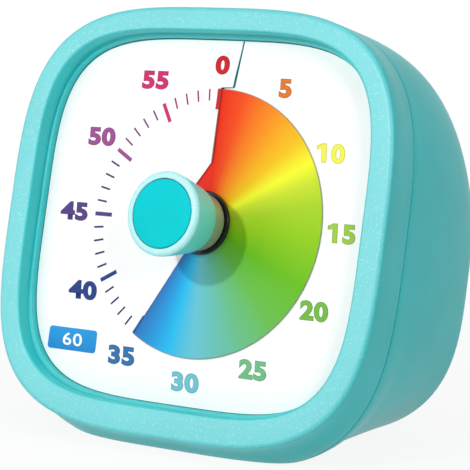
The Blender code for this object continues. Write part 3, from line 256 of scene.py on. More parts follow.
def printInk(nodes, darker):
    stops = [(max(0.0, (at - 0.5) / 60), colour) for at, colour in inks]
    ramp = nodes.ramp(nodes.attribute("minute") / 60.0, stops, "CONSTANT")
    speck = nodes.speck()
    dark = nodes.tint(ramp, (0.02, 0.005, 0.02), darker)
    colour = nodes.tint(dark, (0.8, 0.8, 0.8), nodes.between(speck, 0.55, 0.85) * 0.06)
    return colour, 0.40 + speck * 0.12, nodes.bump(speck, 0.003, 0.5), 0.0, inkShine


film = {
    "rim": 42.0, "bore": 2.6, "lift": 0.2, "pitch": 1.0, "thickness": 0.2, "shown": 210.0, "cut": 0.6,
    "columns": 180, "rows": 10, "rimLine": 0.30, "shine": 0.06,
    "sweep": [
        (0.0, (0.73, 0.024, 0.008)), (2.0, (0.80, 0.070, 0.010)), (5.0, (0.84, 0.26, 0.012)),
        (8.0, (0.82, 0.50, 0.012)), (9.9, (0.82, 0.85, 0.030)), (11.2, (0.55, 0.68, 0.030)),
        (13.0, (0.36, 0.58, 0.022)), (15.0, (0.28, 0.55, 0.012)), (19.0, (0.125, 0.45, 0.012)),
        (22.5, (0.13, 0.45, 0.07)), (25.5, (0.13, 0.46, 0.24)), (29.5, (0.13, 0.50, 0.60)),
        (31.6, (0.02, 0.46, 0.77)), (33.0, (0.020, 0.31, 0.66)), (35.2, (0.03, 0.14, 0.42)),
        (40.0, (0.02, 0.05, 0.30)), (45.0, (0.08, 0.04, 0.34)), (50.0, (0.34, 0.05, 0.40)),
        (55.0, (0.66, 0.02, 0.20)), (57.0, (0.76, 0.025, 0.02)), (60.0, (0.78, 0.030, 0.010)),
    ],
}


# The film's print: a sweep of colour round the hub, a thin line along the rim and a dark leading edge.
def rainbowFilm(nodes):
    point = nodes.onDial()
    across, up, _ = nodes.axes(point)
    share = nodes.add("ShaderNodeMath", {"operation": "ARCTAN2"}, {0: across, 1: up}) / tau % 1.0
    sweep = nodes.ramp(share, [(at / 60, colour) for at, colour in film["sweep"]])
    speck = nodes.speck(0.25)
    edge = film["shown"] / 360
    lead = (share > edge - 0.0016) * (share < edge + 0.0002)
    rim = (across * across + up * up) ** 0.5 > (film["rim"] - film["rimLine"]) * mm
    line = nodes.tint(sweep, (0.20, 0.21, 0.17), rim * 0.65)
    line = nodes.tint(line, (0.01, 0.03, 0.16), lead * 0.8)
    colour = nodes.tint(line, (0.9, 0.9, 0.9), nodes.between(speck, 0.5, 0.8) * 0.012)
    return colour, 0.36 + speck * 0.10, nodes.bump(speck, 0.003, 0.6), 0.0, film["shine"]


# The label's blue, a little paler towards its upper edge.
def badgeInk(nodes):
    up = nodes.between(nodes.axes(nodes.onDial())[1], -44.3 * mm, -37.1 * mm)
    speck = nodes.speck()
    colour = nodes.tint((0.010, 0.21, 0.54), (0.012, 0.29, 0.66), up)
    colour = nodes.tint(colour, (0.8, 0.8, 0.8), nodes.between(speck, 0.55, 0.85) * 0.05)
    return colour, 0.42 + speck * 0.1, nodes.bump(speck, 0.003, 0.5), 0.0, inkShine


def whiteInk(nodes):
    speck = nodes.speck()
    colour = nodes.tint((0.86, 0.87, 0.88), (0.70, 0.78, 0.86), nodes.between(speck, 0.5, 0.8) * 0.3)
    return colour, 0.42 + speck * 0.1, nodes.bump(speck, 0.003, 0.5)


# Colour, second colour, roughness, depth of the lines and how metallic it is.
metals = {
    "turnedSteel": ((0.40, 0.43, 0.32), (0.31, 0.34, 0.25), 0.46, 0.006, 0.35),
    "zincScrew": ((0.60, 0.61, 0.62), (0.46, 0.47, 0.50), 0.28, 0.008, 1.0),
    "springSteel": ((0.64, 0.63, 0.60), (0.52, 0.51, 0.49), 0.24, 0.005, 1.0),
    "magnetSteel": ((0.22, 0.22, 0.23), (0.15, 0.15, 0.16), 0.34, 0.008, 1.0),
    "brassStock": ((0.78, 0.56, 0.22), (0.62, 0.42, 0.15), 0.27, 0.006, 1.0),
}


# Turned or drawn metal, with fine lines round the dial's axis or along a strip.
def metalStock(nodes, colour, second, rough, depth, metallic):
    point = nodes.onDial()
    line = nodes.grain(nodes.stretched(point, (0.15, 0.15, 6.0)), 0.5, 3.0, 0.6)
    spot = nodes.grain(point, 2.5, 3.0)
    share = nodes.between(line, 0.35, 0.65) * 0.6 + nodes.between(spot, 0.5, 0.75) * 0.4
    rough = rough + (line - 0.5) * 0.18 + (spot - 0.5) * 0.10
    return nodes.tint(colour, second, share), rough, nodes.bump(line, depth, 0.8), metallic


def siliconSteel(nodes):
    point = nodes.onDial()
    flake = nodes.add("ShaderNodeTexVoronoi", {}, {"Vector": point, "Scale": 1 / (1.1 * mm)}, "Color")
    rolled = nodes.grain(nodes.stretched(point, (6.0, 0.2, 1.0)), 0.6, 3.0)
    colour = nodes.tint((0.34, 0.35, 0.37), (0.50, 0.51, 0.53), nodes.grey(flake) * 0.6 + rolled * 0.3)
    return colour, 0.28 + rolled * 0.2, nodes.bump(rolled, 0.006, 0.6), 1.0


def enamelledCopper(nodes):
    point = nodes.onDial()
    spot = nodes.grain(point, 1.2, 3.0)
    fine = nodes.grain(nodes.stretched(point, (1.0, 8.0, 1.0)), 0.5, 2.0)
    colour = nodes.tint((0.62, 0.22, 0.09), (0.42, 0.12, 0.05), nodes.between(spot, 0.4, 0.65))
    return colour, 0.24 + spot * 0.14, nodes.bump(fine, 0.008, 0.6), 1.0


cell = {"left": -22.5, "length": 49.3, "bandShare": 0.68, "bareEnd": 0.45}


# A dark sleeve with a copper band towards the button end, bare metal at both ends.
def cellSleeve(nodes):
    point = nodes.here()
    along = nodes.axes(point)[0] / mm
    spot = nodes.grain(point, 4.0, 3.0)
    fine = nodes.grain(nodes.stretched(point, (0.3, 4.0, 4.0)), 0.8, 3.0)
    left, right = cell["left"], cell["left"] + cell["length"]
    band = along > blend(left, right, cell["bandShare"])
    bare = (along < left + cell["bareEnd"]).math("MAXIMUM", along > right - cell["bareEnd"])
    sleeve = nodes.tint((0.016, 0.017, 0.020), (0.60, 0.27, 0.10), band)
    sleeve = nodes.tint(sleeve, (0.10, 0.08, 0.07), nodes.between(spot, 0.55, 0.75) * 0.15)
    colour = nodes.tint(sleeve, (0.62, 0.61, 0.59), bare)
    rough = 0.20 + (spot - 0.5) * 0.12 + bare * 0.10
    metallic = (band * 0.7).math("MAXIMUM", bare)
    return colour, rough, nodes.bump(fine, 0.006, 0.5), metallic


# Solder mask with the faint copper tracks under it.
def solderMask(nodes):
    point = nodes.onDial()
    sockets = {"Color1": (0, 0, 0, 1), "Color2": (0.25, 0.25, 0.25, 1), "Mortar": white, "Scale": 150.0}
    sockets.update({"Vector": point, "Mortar Size": 0.035, "Brick Width": 0.9, "Row Height": 0.4})
    track = nodes.grey(nodes.add("ShaderNodeTexBrick", {"offset": 0.35}, sockets))
    spot = nodes.grain(point, 1.5, 3.0)
    colour = nodes.tint((0.012, 0.13, 0.045), (0.035, 0.25, 0.085), track)
    colour = nodes.tint(colour, (0.01, 0.09, 0.03), nodes.between(spot, 0.45, 0.7) * 0.4)
    return colour, 0.26 + spot * 0.12, nodes.bump(track + spot * 0.3, 0.02, 0.6)


finishes = {name: finished(name, moulding, *values) for name, values in mouldings.items()}
finishes.update({name: finished(name, metalStock, *values) for name, values in metals.items()})
for name, darker in {"brightInk": 0.0, "darkInk": 0.40, "edgeInk": 0.26}.items():
    finishes[name] = finished(name, printInk, darker)
prints = [cardStock, rainbowFilm, badgeInk, whiteInk]
for recipe in (*prints, siliconSteel, enamelledCopper, cellSleeve, solderMask):
    finishes[recipe.__name__] = finished(recipe.__name__, recipe)
print("finishes made")


# Meshes

def smoothed(mesh):
    mesh.shade_smooth()
    mesh.set_sharp_from_angle(angle=radians(stance["sharp"]))
    return mesh


def meshOf(name, bm):
    mesh = bpy.data.meshes.new(name)
    bm.to_mesh(mesh)
    bm.free()
    return smoothed(mesh)


# Four-sided faces between each row of corners and the next.
def fillRows(name, bm, rows, closed, ends=False):
    pairs = list(zip(rows, rows[1:]))
    if closed:
        pairs.append((rows[-1], rows[0]))
    count = max(len(row) for row in rows)
    for first, second in pairs:
        for i in range(count):
            j = (i + 1) % count
            corners = [row[k % len(row)] for row, k in ((first, i), (first, j), (second, j), (second, i))]
            bm.faces.new(list(dict.fromkeys(corners)))
    if ends:
        bm.faces.new(rows[-1])
        bm.faces.new(rows[0])
    bmesh.ops.recalc_face_normals(bm, faces=bm.faces)
    return meshOf(name, bm)


# Skins rings of points. Each ring may come with a value that the finish reads there: edge wear up to a half,
# painted sheen above it.
def skin(name, rings, closed=False):
    bm = bmesh.new()
    layer = bm.verts.layers.float.new("wearAndSheen")
    rows = []
    for ring in rings:
        points, wearAndSheen = ring if isinstance(ring, tuple) else (ring, 0.0)
        row = [bm.verts.new(point) for point in points]
        for vert in row:
            vert[layer] = wearAndSheen
        rows.append(row)
    return fillRows(name, bm, rows, closed, ends=not closed)


# Turns a profile of (radius, depth) round the z axis. A radius of zero closes the pole.
def turn(name, profile, segments=128, middle=(0, 0), closed=False):
    bm = bmesh.new()
    x, y = middle
    angles = [tau * i / segments for i in range(segments)]
    rows = []
    for radius, depth in profile:
        places = [(x + radius * cos(a), y + radius * sin(a)) for a in angles] if radius else [middle]
        rows.append([bm.verts.new((*place, depth)) for place in places])
    return fillRows(name, bm, rows, closed)


# A round post or bore.
def peg(radius, low, high, segments, at):
    return turn("peg", [(0, low), (radius, low), (radius, high), (0, high)], segments, at)


# Points on a rounding, from one angle to another.
def bend(middle, radius, first, last, steps=6):
    x, y = middle
    return [(x + radius * cos(radians(a)), y + radius * sin(radians(a))) for a in span(first, last, steps)]


# A rounding of a profile whose side lies at this radius and whose end lies at this depth.
def cornerArc(side, end, radius, first, last, steps):
    outwards = -1 if first > 90 else 1
    upwards = 1 if first > 0 else -1
    return bend((side - outwards * radius, end - upwards * radius), radius, first, last, steps)


def roundedBox(width, height, radius, depth, middle=(0, 0), steps=6):
    points = []
    for quarter, (sideX, sideY) in enumerate(((1, 1), (-1, 1), (-1, -1), (1, -1))):
        for step in range(steps + 1):
            angle = pi / 2 * (quarter + step / steps)
            x = middle[0] + sideX * (width / 2 - radius) + radius * cos(angle)
            y = middle[1] + sideY * (height / 2 - radius) + radius * sin(angle)
            points.append((x, y, depth))
    return points


# A block with rounded corners and a rounded front edge, from its front to its back.
def pad(name, width, height, radius, front, back, middle=(0, 0), lip=0.3, steps=6):
    out = 1 if front > back else -1
    flat = lip + min(0.4, (min(width, height) / 2 - lip) / 2)

    def ring(inwards, depth):
        rounded = max(radius - inwards, 0.02)
        return roundedBox(width - 2 * inwards, height - 2 * inwards, rounded, depth, middle, steps)

    rings = [ring(flat, front)]
    rings += [(ring(lip * aside, front - out * lip * down), 0.5) for aside, down in rounding(90, 60, 30, 0)]
    return skin(name, [*rings, ring(0, back)])


def joined(name, meshes):
    bm = bmesh.new()
    for mesh in meshes:
        bm.from_mesh(mesh)
        bpy.data.meshes.remove(mesh)
    return meshOf(name, bm)


def looseObject(data):
    made = bpy.data.objects.new(data.name, data)
    bpy.context.scene.collection.objects.link(made)
    return made


# The evaluated object as a plain mesh; the object itself goes.
def settled(made):
    bpy.context.view_layer.update()
    graph = bpy.context.evaluated_depsgraph_get()
    mesh = bpy.data.meshes.new_from_object(made.evaluated_get(graph))
    bpy.data.objects.remove(made, do_unlink=True)
    return mesh


# Joins one solid to another, or cuts it away.
def combined(mesh, other, operation):
    target, tool = looseObject(mesh), looseObject(other)
    modifier = target.modifiers.new("Combine", "BOOLEAN")
    modifier.operation = operation
    modifier.object = tool
    made = settled(target)
    bpy.data.objects.remove(tool, do_unlink=True)
    return smoothed(made)


# Gives a sheet its thickness, behind it for an offset of -1 and in front of it for 1.
def thickened(mesh, thickness, offset):
    sheet = looseObject(mesh)
    modifier = sheet.modifiers.new("Thickness", "SOLIDIFY")
    modifier.thickness, modifier.offset = thickness, offset
    return smoothed(settled(sheet))


def addPiece(name, mesh, finish, body, stands=()):
    piece = looseObject(mesh)
    piece.name = mesh.name = name
    mesh.materials.clear()
    mesh.materials.append(finishes[finish])
    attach(piece, body)
    if stands:
        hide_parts(*stands)
    return piece


# Geometry node trees

namedKinds = {"Geometry": "NodeSocketGeometry", "Finish": "NodeSocketMaterial"}
valueKinds = {tuple: "NodeSocketVector", int: "NodeSocketInt", float: "NodeSocketFloat"}


def newTree(name, inputs):
    tree = bpy.data.node_groups.new(name, "GeometryNodeTree")
    tree.interface.new_socket("Geometry", in_out="OUTPUT", socket_type="NodeSocketGeometry")
    for title, value in inputs.items():
        kind = namedKinds.get(title) or valueKinds[type(value)]
        socket = tree.interface.new_socket(title, in_out="INPUT", socket_type=kind)
        if value is not None:
            socket.default_value = value
    nodes = NodeMaker(tree)
    outputs = nodes.add("NodeGroupInput").socket.node.outputs
    return tree, nodes, {output.name: Port(nodes, output) for output in outputs if output.name}


def closeTree(tree, nodes, geometry, finish):
    real = nodes.add("GeometryNodeRealizeInstances", {}, {"Geometry": geometry})
    done = nodes.add("GeometryNodeSetMaterial", {}, {"Geometry": real, "Material": finish})
    nodes.add("NodeGroupOutput", {}, {"Geometry": done})
    return tree


# Runs a tree on a mesh with these inputs and gives the plain mesh.
def grown(tree, values, mesh=None):
    made = looseObject(mesh or bpy.data.meshes.new(tree.name))
    modifier = made.modifiers.new(tree.name, "NODES")
    modifier.node_group = tree
    for socket in tree.interface.items_tree:
        if socket.in_out == "INPUT" and socket.name in values:
            modifier[socket.identifier] = values[socket.name]
    return settled(made)


# A row of copies of the mesh it is given.
def rowTree():
    values = {"Geometry": None, "Count": 5, "Start": (0.0, 0.0, 0.0), "Step": (0.0, 1.0, 0.0), "Finish": None}
    tree, nodes, inputs = newTree("rowOfCopies", values)
    sockets = {"Count": inputs["Count"], "Start Location": inputs["Start"], "Offset": inputs["Step"]}
    line = nodes.add("GeometryNodeMeshLine", {"mode": "OFFSET"}, sockets)
    copies = nodes.add("GeometryNodeInstanceOnPoints", {}, {"Points": line, "Instance": inputs["Geometry"]})
    return closeTree(tree, nodes, copies, inputs["Finish"])


# Printed marks round the dial. Every n-th is skipped where Skip is above zero, and each keeps its minute.
def marksTree():
    values = {"Count": 60, "Skip": 5, "First": 0, "Inner": 38.3, "Outer": 42.0, "Width": 0.5, "Aside": 0.0}
    tree, nodes, inputs = newTree("dialMarks", {**values, "Thickness": 0.02, "Finish": None})
    count, skip, inner, outer = (inputs[name] for name in ("Count", "Skip", "Inner", "Outer"))
    index = nodes.add("GeometryNodeInputIndex")
    angle = index / count * tau
    middle, aside = (inner + outer) / 2, inputs["Aside"]
    sine, cosine = angle.math("SINE"), angle.math("COSINE")
    sockets = {"X": middle * sine + aside * cosine, "Y": middle * cosine - aside * sine}
    place = nodes.add("ShaderNodeCombineXYZ", {}, sockets)
    points = nodes.add("GeometryNodePoints", {}, {"Count": count, "Position": place})
    sockets = {"X": inputs["Width"], "Y": outer - inner, "Z": inputs["Thickness"]}
    size = nodes.add("ShaderNodeCombineXYZ", {}, sockets)
    sockets = {"Size": size, "Vertices X": 2, "Vertices Y": 4, "Vertices Z": 2}
    mark = nodes.add("GeometryNodeMeshCube", {}, sockets)
    spin = nodes.add("ShaderNodeCombineXYZ", {}, {"Z": angle * -1.0})
    kept = (index % skip > 0.5).math("MAXIMUM", skip < 0.5) * (index > inputs["First"] - 0.5)
    sockets = {"Geometry": points, "Name": "minute", "Value": angle * (60 / tau)}
    minute = nodes.add("GeometryNodeStoreNamedAttribute", {"data_type": "FLOAT", "domain": "POINT"}, sockets)
    sockets = {"Points": minute, "Selection": kept, "Instance": mark, "Rotation": spin}
    copies = nodes.add("GeometryNodeInstanceOnPoints", {}, sockets)
    return closeTree(tree, nodes, copies, inputs["Finish"])


# The film as one turn of a shallow helix round the hub.
def filmTree():
    values = {"Start": 0.0, "End": 1.0, "Bore": 2.6, "Rim": 42.0, "Lift": 0.2, "Pitch": 1.0}
    tree, nodes, inputs = newTree("filmTurn", {**values, "Columns": 180, "Rows": 10, "Finish": None})
    start, bore = inputs["Start"], inputs["Bore"]
    sockets = {"Size X": 1.0, "Size Y": 1.0, "Vertices X": inputs["Columns"], "Vertices Y": inputs["Rows"]}
    grid = nodes.add("GeometryNodeMeshGrid", {}, sockets)
    across, up, _ = nodes.axes(nodes.add("GeometryNodeInputPosition"))
    angle = start + (across + 0.5) * (inputs["End"] - start)
    radius = bore + (up + 0.5) * (inputs["Rim"] - bore)
    height = inputs["Lift"] + angle * inputs["Pitch"] / tau
    sockets = {"X": radius * angle.math("SINE"), "Y": radius * angle.math("COSINE"), "Z": height}
    place = nodes.add("ShaderNodeCombineXYZ", {}, sockets)
    moved = nodes.add("GeometryNodeSetPosition", {}, {"Geometry": grid, "Position": place})
    return closeTree(tree, nodes, moved, inputs["Finish"])


copiesInRow, dialMarks, filmTurn = rowTree(), marksTree(), filmTree()
print("trees made")


# Casing outlines. Each is (half width, bottom, top, power) in the face frame.

case = {
    "plane": 7.6, "windowWidth": 61.5, "windowHeight": 58.4, "windowRise": 0.3, "windowPower": 4.0,
    "windowRound": 1.0, "side": 8.2, "top": 7.6, "bottom": 9.4, "bandRound": 1.5, "bandPower": 3.5,
    "ledgeHeight": 2.3, "ledgeWidth": 1.2, "ledgeRound": 0.3, "throatFoot": 0.25, "wall": 2.2, "floor": 2.0,
    "seam": -7.0, "sideDraft": 0.6, "topRise": 0.9, "seamDrop": 5.0, "seamPower": 3.3, "seamGap": 0.55,
    "tongue": 3.0, "tongueWall": 1.1, "rearDepth": 54.5, "sideTaper": 4.0, "topDrop": 33.0, "rearPower": 3.1,
    "rearRound": 7.0, "baseOvercut": 1.6, "baseLead": 11.0, "lip": 0.25, "bossRadius": 3.6, "bossLength": 8.0,
    "pilot": 1.35, "smallPilot": 1.05, "recess": 43.2, "hubHole": 3.9, "movementScrews": 30.6,
}
softFoot = stance["footBlend"]
bandInside = case["plane"] - case["bandRound"] - case["wall"]
rearFace = case["seam"] - case["rearDepth"]
rearInside = rearFace + case["wall"]
rearStart = case["seam"] - case["seamGap"]
recessFloor = film["lift"] - film["pitch"] - gap
cardThickness = 0.3
floorFront = -cardThickness - gap
floorBack = recessFloor - case["floor"]
screwPlaces = [(x, y) for x in (-42.0, 42.0) for y in (-36.0, 14.0)]


def windowOutline(grow=0.0):
    middle, half = case["windowRise"], case["windowHeight"] + grow
    return (case["windowWidth"] + grow, middle - half, middle + half, case["windowPower"])


def inset(outline, by):
    half, bottom, top, power = outline
    return (half - by, bottom + by, top - by, power)


def bandOutline(shrink=0.0):
    half, bottom, top, _ = windowOutline()
    return inset((half + case["side"], bottom - case["bottom"], top + case["top"], case["bandPower"]), shrink)


def tableLine(depth):
    tilt = radians(stance["tilt"])
    return -(dialMiddle.z / mm + depth * sin(tilt)) / cos(tilt)


# The seam's outline reaches below the table, which cuts it flat.
def seamOutline(shrink=0.0):
    half, bottom, top, _ = bandOutline()
    outline = (half - case["sideDraft"], bottom - case["seamDrop"], top + case["topRise"], case["seamPower"])
    return inset(outline, shrink)


def outlineBlend(first, second, t):
    return tuple(blend(a, b, t) for a, b in zip(first, second))


def frontInside(depth):
    share = (depth - case["seam"]) / (bandInside - case["seam"])
    return outlineBlend(seamOutline(case["wall"]), bandOutline(case["wall"] + case["sideDraft"]), share)


# Meets the table softly: the walls turn into the flat base over a short blend. Inner faces stop above it.
def aboveTable(height, depth, soft, above):
    line = tableLine(depth) + above
    overlap = max(soft - abs(height - line), 0) / soft if soft else 0
    return max(height, line) + overlap * overlap * soft / 4


def outlineRing(outline, depth, soft=0.0, above=0.0):
    half, bottom, top, power = outline
    middle, reach = (bottom + top) / 2, (top - bottom) / 2
    points = []
    for i in range(stance["outlinePoints"]):
        angle = tau * i / stance["outlinePoints"]
        across, up = cos(angle), sin(angle)
        radius = (abs(across / half) ** power + abs(up / reach) ** power) ** (-1 / power)
        points.append((radius * across, aboveTable(radius * up + middle, depth, soft, above), depth))
    return points


# Front of the casing: throat, ledge, rounded band, side down to the seam and the floor behind the card.
def frontCasing():
    plane, seam, wall, ledge, lip = (case[name] for name in ("plane", "seam", "wall", "ledgeHeight", "lip"))
    inwards, small, throatFoot = case["ledgeWidth"], case["ledgeRound"], case["throatFoot"]
    windowRound, bandRound = case["windowRound"], case["bandRound"]
    rings = [outlineRing(windowOutline(-inwards), floorFront)]
    for aside, down in rounding(0, 45, 90):
        rings.append((outlineRing(windowOutline(small * aside - inwards), ledge - small * down), 0.5))
    for aside, down in rounding(90, 45, 0):
        rings.append(outlineRing(windowOutline(-throatFoot * aside), ledge + throatFoot * down))
    # The window's rounding and the band's face get painted sheen, full on the face and fading to plain edge
    # wear over the band's outer rounding.
    for step, (aside, down) in enumerate(rounding(*span(0, 90, 8))):
        ring = outlineRing(windowOutline(windowRound * aside), plane - windowRound * down)
        rings.append((ring, ease(step / 8)))
    middle = outlineBlend(windowOutline(windowRound), bandOutline(bandRound), 0.5)
    rings.append((outlineRing(middle, plane), 1.0))
    for step, (aside, down) in enumerate(rounding(*span(90, 0, 10))):
        ring = outlineRing(bandOutline(bandRound * aside), plane - bandRound * down)
        rings.append((ring, 1.0 - 0.5 * ease(step / 10)))
    widest = plane - bandRound
    for share in span(0, 1 - lip / (widest - seam), 12)[1:]:
        outline = outlineBlend(bandOutline(), seamOutline(), ease(share))
        rings.append(outlineRing(outline, blend(widest, seam, share), softFoot))
    for aside, down in rounding(30, 60, 90):
        rings.append(outlineRing(seamOutline(lip * aside), seam + lip * down, softFoot))
    for depth in (seam, seam + case["tongue"], bandInside):
        rings.append(outlineRing(frontInside(depth), depth, above=wall))
    rings += [outlineRing(windowOutline(wall - inwards), depth) for depth in (bandInside, floorBack)]
    bossEnd = floorBack - case["bossLength"]
    bosses = [peg(case["bossRadius"], bossEnd, floorBack + 1, 40, at) for at in screwPlaces]
    shell = combined(skin("frontCasing", rings), joined("bosses", bosses), "UNION")
    hubHole, recess = case["hubHole"], case["recess"]
    profile = [(0, 1), (recess, 1), (recess, recessFloor), (hubHole, recessFloor), (hubHole, floorBack - 1)]
    cuts = [turn("recess", [*profile, (0, floorBack - 1)], 160, (stance["dialOffset"], 0))]
    cuts += [peg(case["pilot"], bossEnd - 1, floorBack - 1, 24, at) for at in screwPlaces]
    for side in (-1, 1):
        at = (stance["dialOffset"] + side * case["movementScrews"], 0)
        cuts.append(peg(case["smallPilot"], floorBack - 1, floorBack + 1.6, 24, at))
    shell = combined(shell, joined("recesses", cuts), "DIFFERENCE")
    return addPiece("front_casing", toFace(shell), "mintMoulding", "casing", ["front_shell"])


frontCasing()
print("front casing made")

back = {
    "cellRise": -33.0, "cellRadius": 7.1, "bayLength": 58.0, "bayHeight": 15.2, "bayWall": 1.5,
    "doorLap": 2.0, "doorThickness": 1.3, "doorCorner": 3.0, "rib": (14.0, 1.2), "ribPitch": 2.6,
    "boardPosts": 54.0, "boardThickness": 3.6, "boardPost": 2.4,
    "switchRise": -7.0, "sliderWidth": 6.0, "sliderHeight": 4.4, "sliderProud": 1.2, "sounderRise": 13.5,
    "sounderRadius": 12.0, "sounderDeep": 3.5, "sounderWall": 1.2, "slots": 5, "slotWidth": 1.4,
    "slotPitch": 3.2, "slotLength": 15.0, "bore": 3.3, "boreMouth": 0.5, "mouth": 0.4, "post": 4.6,
    "web": 2.0,
}
bayFront = rearFace + back["doorThickness"] + gap + 1.0 + 2 * back["cellRadius"]
boardBack = rearInside + 2 * gap + back["boardThickness"] + gap
postFront = floorBack - case["bossLength"] - gap
doorSize = [back[name] + 2 * (back["doorLap"] - gap) for name in ("bayLength", "bayHeight")]
boardPlaces = [(side * back["boardPosts"] / 2, back["switchRise"]) for side in (-1, 1)]


def rearOutline(depth):
    half, bottom, top, power = seamOutline()
    share = (case["seam"] - depth) / case["rearDepth"]
    lead = 1 - ease((case["seam"] - depth) / case["baseLead"])
    base = blend(tableLine(depth) - case["baseOvercut"], bottom, lead)
    top -= case["topDrop"] * share**4
    return (half - case["sideTaper"] * share**2.5, base, top, blend(power, case["rearPower"], share))


def tongueRing():
    start, tongueWall = rearStart, case["tongueWall"]
    tip = case["seam"] + case["tongue"]
    foot = start - 2 * tongueWall
    outerTip, outerRoot = inset(frontInside(tip), gap), inset(frontInside(case["seam"]), gap)
    middle, inner = seamOutline(case["wall"] / 2), inset(outerTip, tongueWall)
    outside = case["wall"] + 5 * gap
    inside = outside + tongueWall
    shape = [(inner, tip, inside), (outerTip, tip, outside), (outerRoot, start, outside)]
    shape += [(outerRoot, start - gap, outside), (middle, start - gap, case["wall"] / 2)]
    shape += [(middle, foot, case["wall"] / 2), (inner, foot, inside)]
    rings = [outlineRing(outline, depth, above=above) for outline, depth, above in shape]
    return skin("tongue", rings, closed=True)


# A cutter that starts outside the flat back with a softened mouth.
def mouthCutter(width, height, corner, deeper, middle):
    mouth = back["mouth"]
    wider = [(mouth, rearFace - 1)]
    wider += [(mouth * down, rearFace + mouth * aside) for aside, down in rounding(0, 30, 60, 90)]
    steps = [(width + 2 * grow, height + 2 * grow, corner + grow, depth) for grow, depth in wider]
    return skin("mouth", [roundedBox(*step, middle) for step in [*steps, *deeper]])


def rearCuts():
    webBack, bore, flare, pilot = postFront - back["web"], back["bore"], back["boreMouth"], case["pilot"]
    profile = [(0, rearFace - 1), (bore + flare, rearFace - 1)]
    profile += [(bore + flare * down, rearFace + flare * aside) for aside, down in rounding(0, 30, 60, 90)]
    profile += [(bore, webBack), (pilot, webBack), (pilot, postFront + 1), (0, postFront + 1)]
    cuts = [turn("bore", profile, 40, at) for at in screwPlaces]
    recess = (doorSize[0] + 2 * gap, doorSize[1] + 2 * gap, back["doorCorner"] + gap)
    bay = (back["bayLength"], back["bayHeight"], 0.4)
    shelf = rearFace + back["doorThickness"] + gap
    deeper = [(*recess, shelf), (*bay, shelf), (*bay, bayFront)]
    cuts.append(mouthCutter(*recess, deeper, (0, back["cellRise"])))
    through = rearInside + 1
    for centre, travel in ((-16.0, 6.0), (17.5, 3.0)):
        size = (back["sliderWidth"] + travel + 2 * gap, back["sliderHeight"] + 2 * gap, 0.3)
        cuts.append(mouthCutter(*size, [(*size, through)], (centre, back["switchRise"])))
    size = (back["slotLength"], back["slotWidth"], back["slotWidth"] / 2)
    start = back["sounderRise"] - (back["slots"] - 1) / 2 * back["slotPitch"]
    values = {"Count": back["slots"], "Start": (0, start, 0), "Step": (0, back["slotPitch"], 0)}
    cuts.append(grown(copiesInRow, values, mouthCutter(*size, [(*size, through)], (0, 0))))
    front = boardBack - gap
    cuts += [peg(case["smallPilot"], front - 3.2, front + 1, 24, at) for at in boardPlaces]
    return joined("rearCuts", cuts)


def rearPosts():
    sunk = rearFace + 1
    posts = [peg(back["post"], sunk, postFront, 48, at) for at in screwPlaces]
    posts += [peg(back["boardPost"], sunk, boardBack - gap, 32, at) for at in boardPlaces]
    size = (back["bayLength"] + 2 * back["bayWall"], back["bayHeight"] + 2 * back["bayWall"], 0.5)
    depths = (sunk, bayFront + back["bayWall"])
    posts.append(skin("bay", [roundedBox(*size, depth, (0, back["cellRise"])) for depth in depths]))
    inner, high = back["sounderRadius"] + gap, rearInside + back["sounderDeep"]
    outer = inner + back["sounderWall"]
    ring = [(inner, sunk), (outer, sunk), (outer, high), (inner, high)]
    posts.append(turn("ring", ring, 96, (0, back["sounderRise"]), closed=True))
    return joined("posts", [*posts, tongueRing()])


def rearRing(depth, shrink, above=0.0):
    return outlineRing(inset(rearOutline(depth), shrink), depth, softFoot, above)


# Rear of the casing, a tapering cup with a flat base: its inside from the back forwards, then its outside.
def rearCasing():
    lip, wall, outerRound = case["lip"], case["wall"], case["rearRound"]
    innerRound = outerRound - wall
    rings = [rearRing(rearInside, outerRound + 0.5, wall)]
    for aside, down in rounding(*span(0, 90, 8)):
        rings.append(rearRing(rearInside + innerRound * aside, wall + innerRound * down, wall))
    rings += [rearRing(depth, wall, wall) for depth in span(rearInside + innerRound, rearStart, 16)[1:]]
    for aside, down in rounding(90, 60, 30):
        outline = inset(rearOutline(rearStart), lip * aside)
        rings.append(outlineRing(outline, rearStart - lip * down, softFoot))
    rings += [rearRing(depth, 0.0) for depth in span(rearStart - lip, rearFace + outerRound, 24)]
    for step, (aside, down) in enumerate(rounding(*span(0, 90, 12))):
        if step:
            ring = rearRing(rearFace + outerRound * down, outerRound * aside)
            rings.append((ring, 0.4 * sin(pi * step / 12)))
    rings.append(rearRing(rearFace, outerRound + 0.5))
    shell = combined(skin("rearCasing", rings), rearPosts(), "UNION")
    shell = combined(shell, rearCuts(), "DIFFERENCE")
    return addPiece("rear_casing", toFace(shell), "mintMoulding", "casing", ["rear_shell"])


rearCasing()
print("rear casing made")


def doorPiece():
    rise, inner = back["cellRise"], rearFace + back["doorThickness"]
    parts = [pad("door", *doorSize, back["doorCorner"], rearFace, inner, (0, rise), 0.35)]
    low = rise - back["bayHeight"] / 2 + gap + 0.65
    parts += [pad("tab", 8.0, 1.3, 0.3, inner + 2.0, inner - 0.5, (x, low), 0.25, 3) for x in (-15.0, 15.0)]
    rib = pad("rib", *back["rib"], 0.58, rearFace - 0.6, rearFace + 0.5, (0, 0), 0.45, 5)
    pitch = back["ribPitch"]
    parts.append(grown(copiesInRow, {"Count": 3, "Start": (0, rise - pitch, 0), "Step": (0, pitch, 0)}, rib))
    mesh = toFace(joined("door", parts))
    return addPiece("battery_cover", mesh, "mintMoulding", "door", ["battery_door"])


